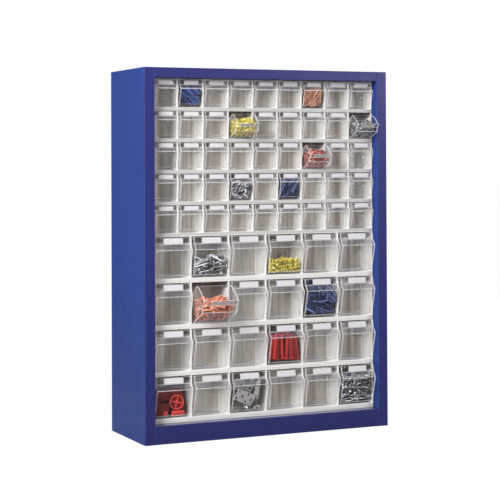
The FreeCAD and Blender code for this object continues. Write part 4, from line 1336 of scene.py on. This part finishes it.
items = [(box_t, (-27, -16, 22), RY(4) @ RX(86)), (box_t, (-24, -20, 55), RY(-10) @ RX(84)),
         (box_t, (10, -36, 52), RY(8) @ RX(90)), (box_t, (26, -38, 24), RY(86) @ RX(84)), (box_t, (-4, -40, 24), RY(2) @ RX(88)),
         (box_t, (25, -36, 50), RY(88) @ RX(86)), (box_t, (24, -30, 15), RY(-3) @ RX(88)),
         (foot, (17, -7.5, 9.5), RX(-14) @ RX(90)), (foot, (-25, -12, 11), RZ(30) @ RX(90)),
         (cap, (16, -13.0, 36), RZ(4) @ RY(-30) @ RZ(90))]
v_, f_, m_, t_, pl_ = set_pieces("r9c1", items, None, 24)
# the tones follow the three reds: 1.0 on the brightest, 0.8 on the deep red, 0.6 on the painted-shade red
t_ = [1.0 if m == 2 else 0.8 if m else 0.6 for m in m_]
finish_load("r9c1", pl_, v_, f_, m_, t_, ["red_dark", "red_deep", "red_bright"], 0.25)

# r9c3: drilled steel brackets leaning on each other, with round spacers below, and four more brackets behind that are
# painted near black as painted shade
br = t_bracket()[0]
sp = chunk([(*tube(9, 5.0, 2.6, 18), 0)])
items = []
for at, tip in (((-13, -2.2, 65), 21), ((-8, -3.2, 37), 25)):
    items.append((br, at, RX(-15.5) @ RY(tip) @ RX(90)))
for at, turn, lean in (((21, -7, 60), 64, -86), ((35, -10, 58), 58, -88)):
    items.append((br, at, RX(-13) @ RZ(turn) @ RY(lean) @ RX(90)))
for at, a, b in (((-16, -17, 44), 75, 5), ((8, -24, 46), 100, -4), ((-12, -31, 50), 62, 3), ((18, -38, 44), 80, 2)):
    items.append((br, at, RZ(b) @ RY(-20 if abs(a) < 70 else a - 90) @ RX(90)))
for at, a in (((-24, -4, 9), 20), ((-11, -1.5, 8.5), 80), ((22, -3, 9), 50), ((31, -10, 9), 10), ((12, -8, 8.5), 120),
              ((-30, -16, 9), 70), ((0, -14, 9), 30), ((26, -24, 9), 100), ((-16, -30, 9), 140)):
    items.append((sp, at, RZ(a)))
v_, f_, m_, t_, pl_ = set_pieces("r9c3", items, None, 25)
cut = sum(len(q[0][1]) for q in items[:4])
m_ = [0] * cut + [1] * (len(f_) - cut)
half = len(items[0][0][1])
# the four front brackets get set tones of 0.5, 0.95, 0.75 and 0.75; the four behind get 0.04, painted shade
t_ = [0.5] * half + [0.95] * half + [0.75] * (cut - 2 * half) + [0.04] * (4 * half) + t_[cut + 4 * half:]
finish_load("r9c3", pl_, v_, f_, m_, t_, ["steel_plate", "steel"], 0.2)

# ---------------------------------------------------------------- stage, light, camera
bm = bmesh.new()
bmesh.ops.create_grid(bm, x_segments=2, y_segments=2, size=30)
me = bpy.data.meshes.new("floor")
bm.to_mesh(me)
bm.free()
floor = bpy.data.objects.new("floor", me)
scene.collection.objects.link(floor)
floor.location = (0, 0, CAD_LO.z)
fm = surface("floor_white", (0.44, 0.44, 0.44), (0.47, 0.47, 0.47), rough=(0.8, 0.9), scale=0.6, spec=0.1)
nt = fm.node_tree
outn = [n for n in nt.nodes if n.type == "OUTPUT_MATERIAL"][0]
pb = [n for n in nt.nodes if n.type == "BSDF_PRINCIPLED"][0]
em = nt.nodes.new("ShaderNodeEmission")
em.inputs["Color"].default_value = (1, 1, 1, 1)
em.inputs["Strength"].default_value = 1.11
ray = nt.nodes.new("ShaderNodeLightPath")
mixf = nt.nodes.new("ShaderNodeMixShader")
nt.links.new(math_node(nt, "MULTIPLY", ray.outputs["Is Camera Ray"], 0.88), mixf.inputs[0])
nt.links.new(pb.outputs[0], mixf.inputs[1])
nt.links.new(em.outputs[0], mixf.inputs[2])
nt.links.new(mixf.outputs[0], outn.inputs["Surface"])
me.materials.append(fm)


def area(name, loc, target, size, power, color=(1, 1, 1), size_y=None):
    ld = bpy.data.lights.new(name, "AREA")
    ld.energy = power
    ld.color = color
    ld.shape = "RECTANGLE"
    ld.size = size
    ld.size_y = size_y or size
    ob = bpy.data.objects.new(name, ld)
    ob.location = loc
    d = Vector(target) - Vector(loc)
    ob.rotation_mode = "QUATERNION"
    ob.rotation_quaternion = d.to_track_quat("-Z", "Y")
    scene.collection.objects.link(ob)
    return ob


area("key", (-2.75, -1.75, 2.05), (0, -0.1, 0.5), 1.35, 165, (1.0, 1.0, 1.0))
area("right_card", (1.95, -2.8, 1.45), (0.2, -0.1, 0.85), 0.9, 30, (1.0, 0.95, 1.0), 0.8)
area("top", (0.0, -0.4, 3.2), (0, 0, 0.5), 2.0, 8)
area("back_fill", (2.6, 2.4, 1.7), (0.2, 0.1, 0.5), 1.6, 70)

world = bpy.data.worlds.new("studio")
scene.world = world
world.use_nodes = True
wt = world.node_tree
wt.nodes.clear()
wo = wt.nodes.new("ShaderNodeOutputWorld")
bg = wt.nodes.new("ShaderNodeBackground")
bg.inputs["Color"].default_value = (1, 1, 1, 1)
cam_bg = wt.nodes.new("ShaderNodeBackground")
cam_bg.inputs["Color"].default_value = (1, 1, 1, 1)
cam_bg.inputs["Strength"].default_value = 1.0
bg.inputs["Strength"].default_value = 0.20
lp = wt.nodes.new("ShaderNodeLightPath")
mx = wt.nodes.new("ShaderNodeMixShader")
wt.links.new(lp.outputs["Is Camera Ray"], mx.inputs[0])
wt.links.new(bg.outputs[0], mx.inputs[1])
wt.links.new(cam_bg.outputs[0], mx.inputs[2])
wt.links.new(mx.outputs[0], wo.inputs["Surface"])
scene.view_settings.view_transform = "Standard"

# camera: 115 mm lens with the frame shifted as in a product shot
YAW, PITCH, ROLL = math.radians(25.61), math.radians(1.02), math.radians(-0.28)
CAM = Vector((-1.624, -3.773, 0.680))
fwd = Vector((math.sin(YAW) * math.cos(PITCH), math.cos(YAW) * math.cos(PITCH), math.sin(PITCH)))
right = Vector((math.cos(YAW), -math.sin(YAW), 0))
up = right.cross(fwd)
r2 = math.cos(ROLL) * right + math.sin(ROLL) * up
u2 = -math.sin(ROLL) * right + math.cos(ROLL) * up
cd = bpy.data.cameras.new("camera")
cam = bpy.data.objects.new("camera", cd)
scene.collection.objects.link(cam)
scene.camera = cam
cd.sensor_fit = "HORIZONTAL"
cd.sensor_width = 36.0
cd.lens = 1601.2 / 500 * 36.0
cam.matrix_world = Matrix.Translation(CAM) @ Matrix((
    (r2.x, u2.x, -fwd.x, 0), (r2.y, u2.y, -fwd.y, 0), (r2.z, u2.z, -fwd.z, 0), (0, 0, 0, 1)))
SHIFT = ((250 - 314.7) / 500, (133.0 - 250) / 500)
# the shift belongs to this view only: any other camera place looks straight ahead
for prop, value in zip(("shift_x", "shift_y"), SHIFT):
    drv = cd.driver_add(prop).driver
    drv.type = "SCRIPTED"
    var = drv.variables.new()
    var.name = "px"
    var.targets[0].id = cam
    var.targets[0].data_path = "location.x"
    drv.expression = "%.5f if abs(px + 1.624) < 0.0005 else 0.0" % value
cd.clip_start, cd.clip_end = 0.05, 100

scene.cycles.transparent_max_bounces = 48
scene.cycles.max_bounces = 14
scene.cycles.diffuse_bounces = 5
scene.cycles.glossy_bounces = 5
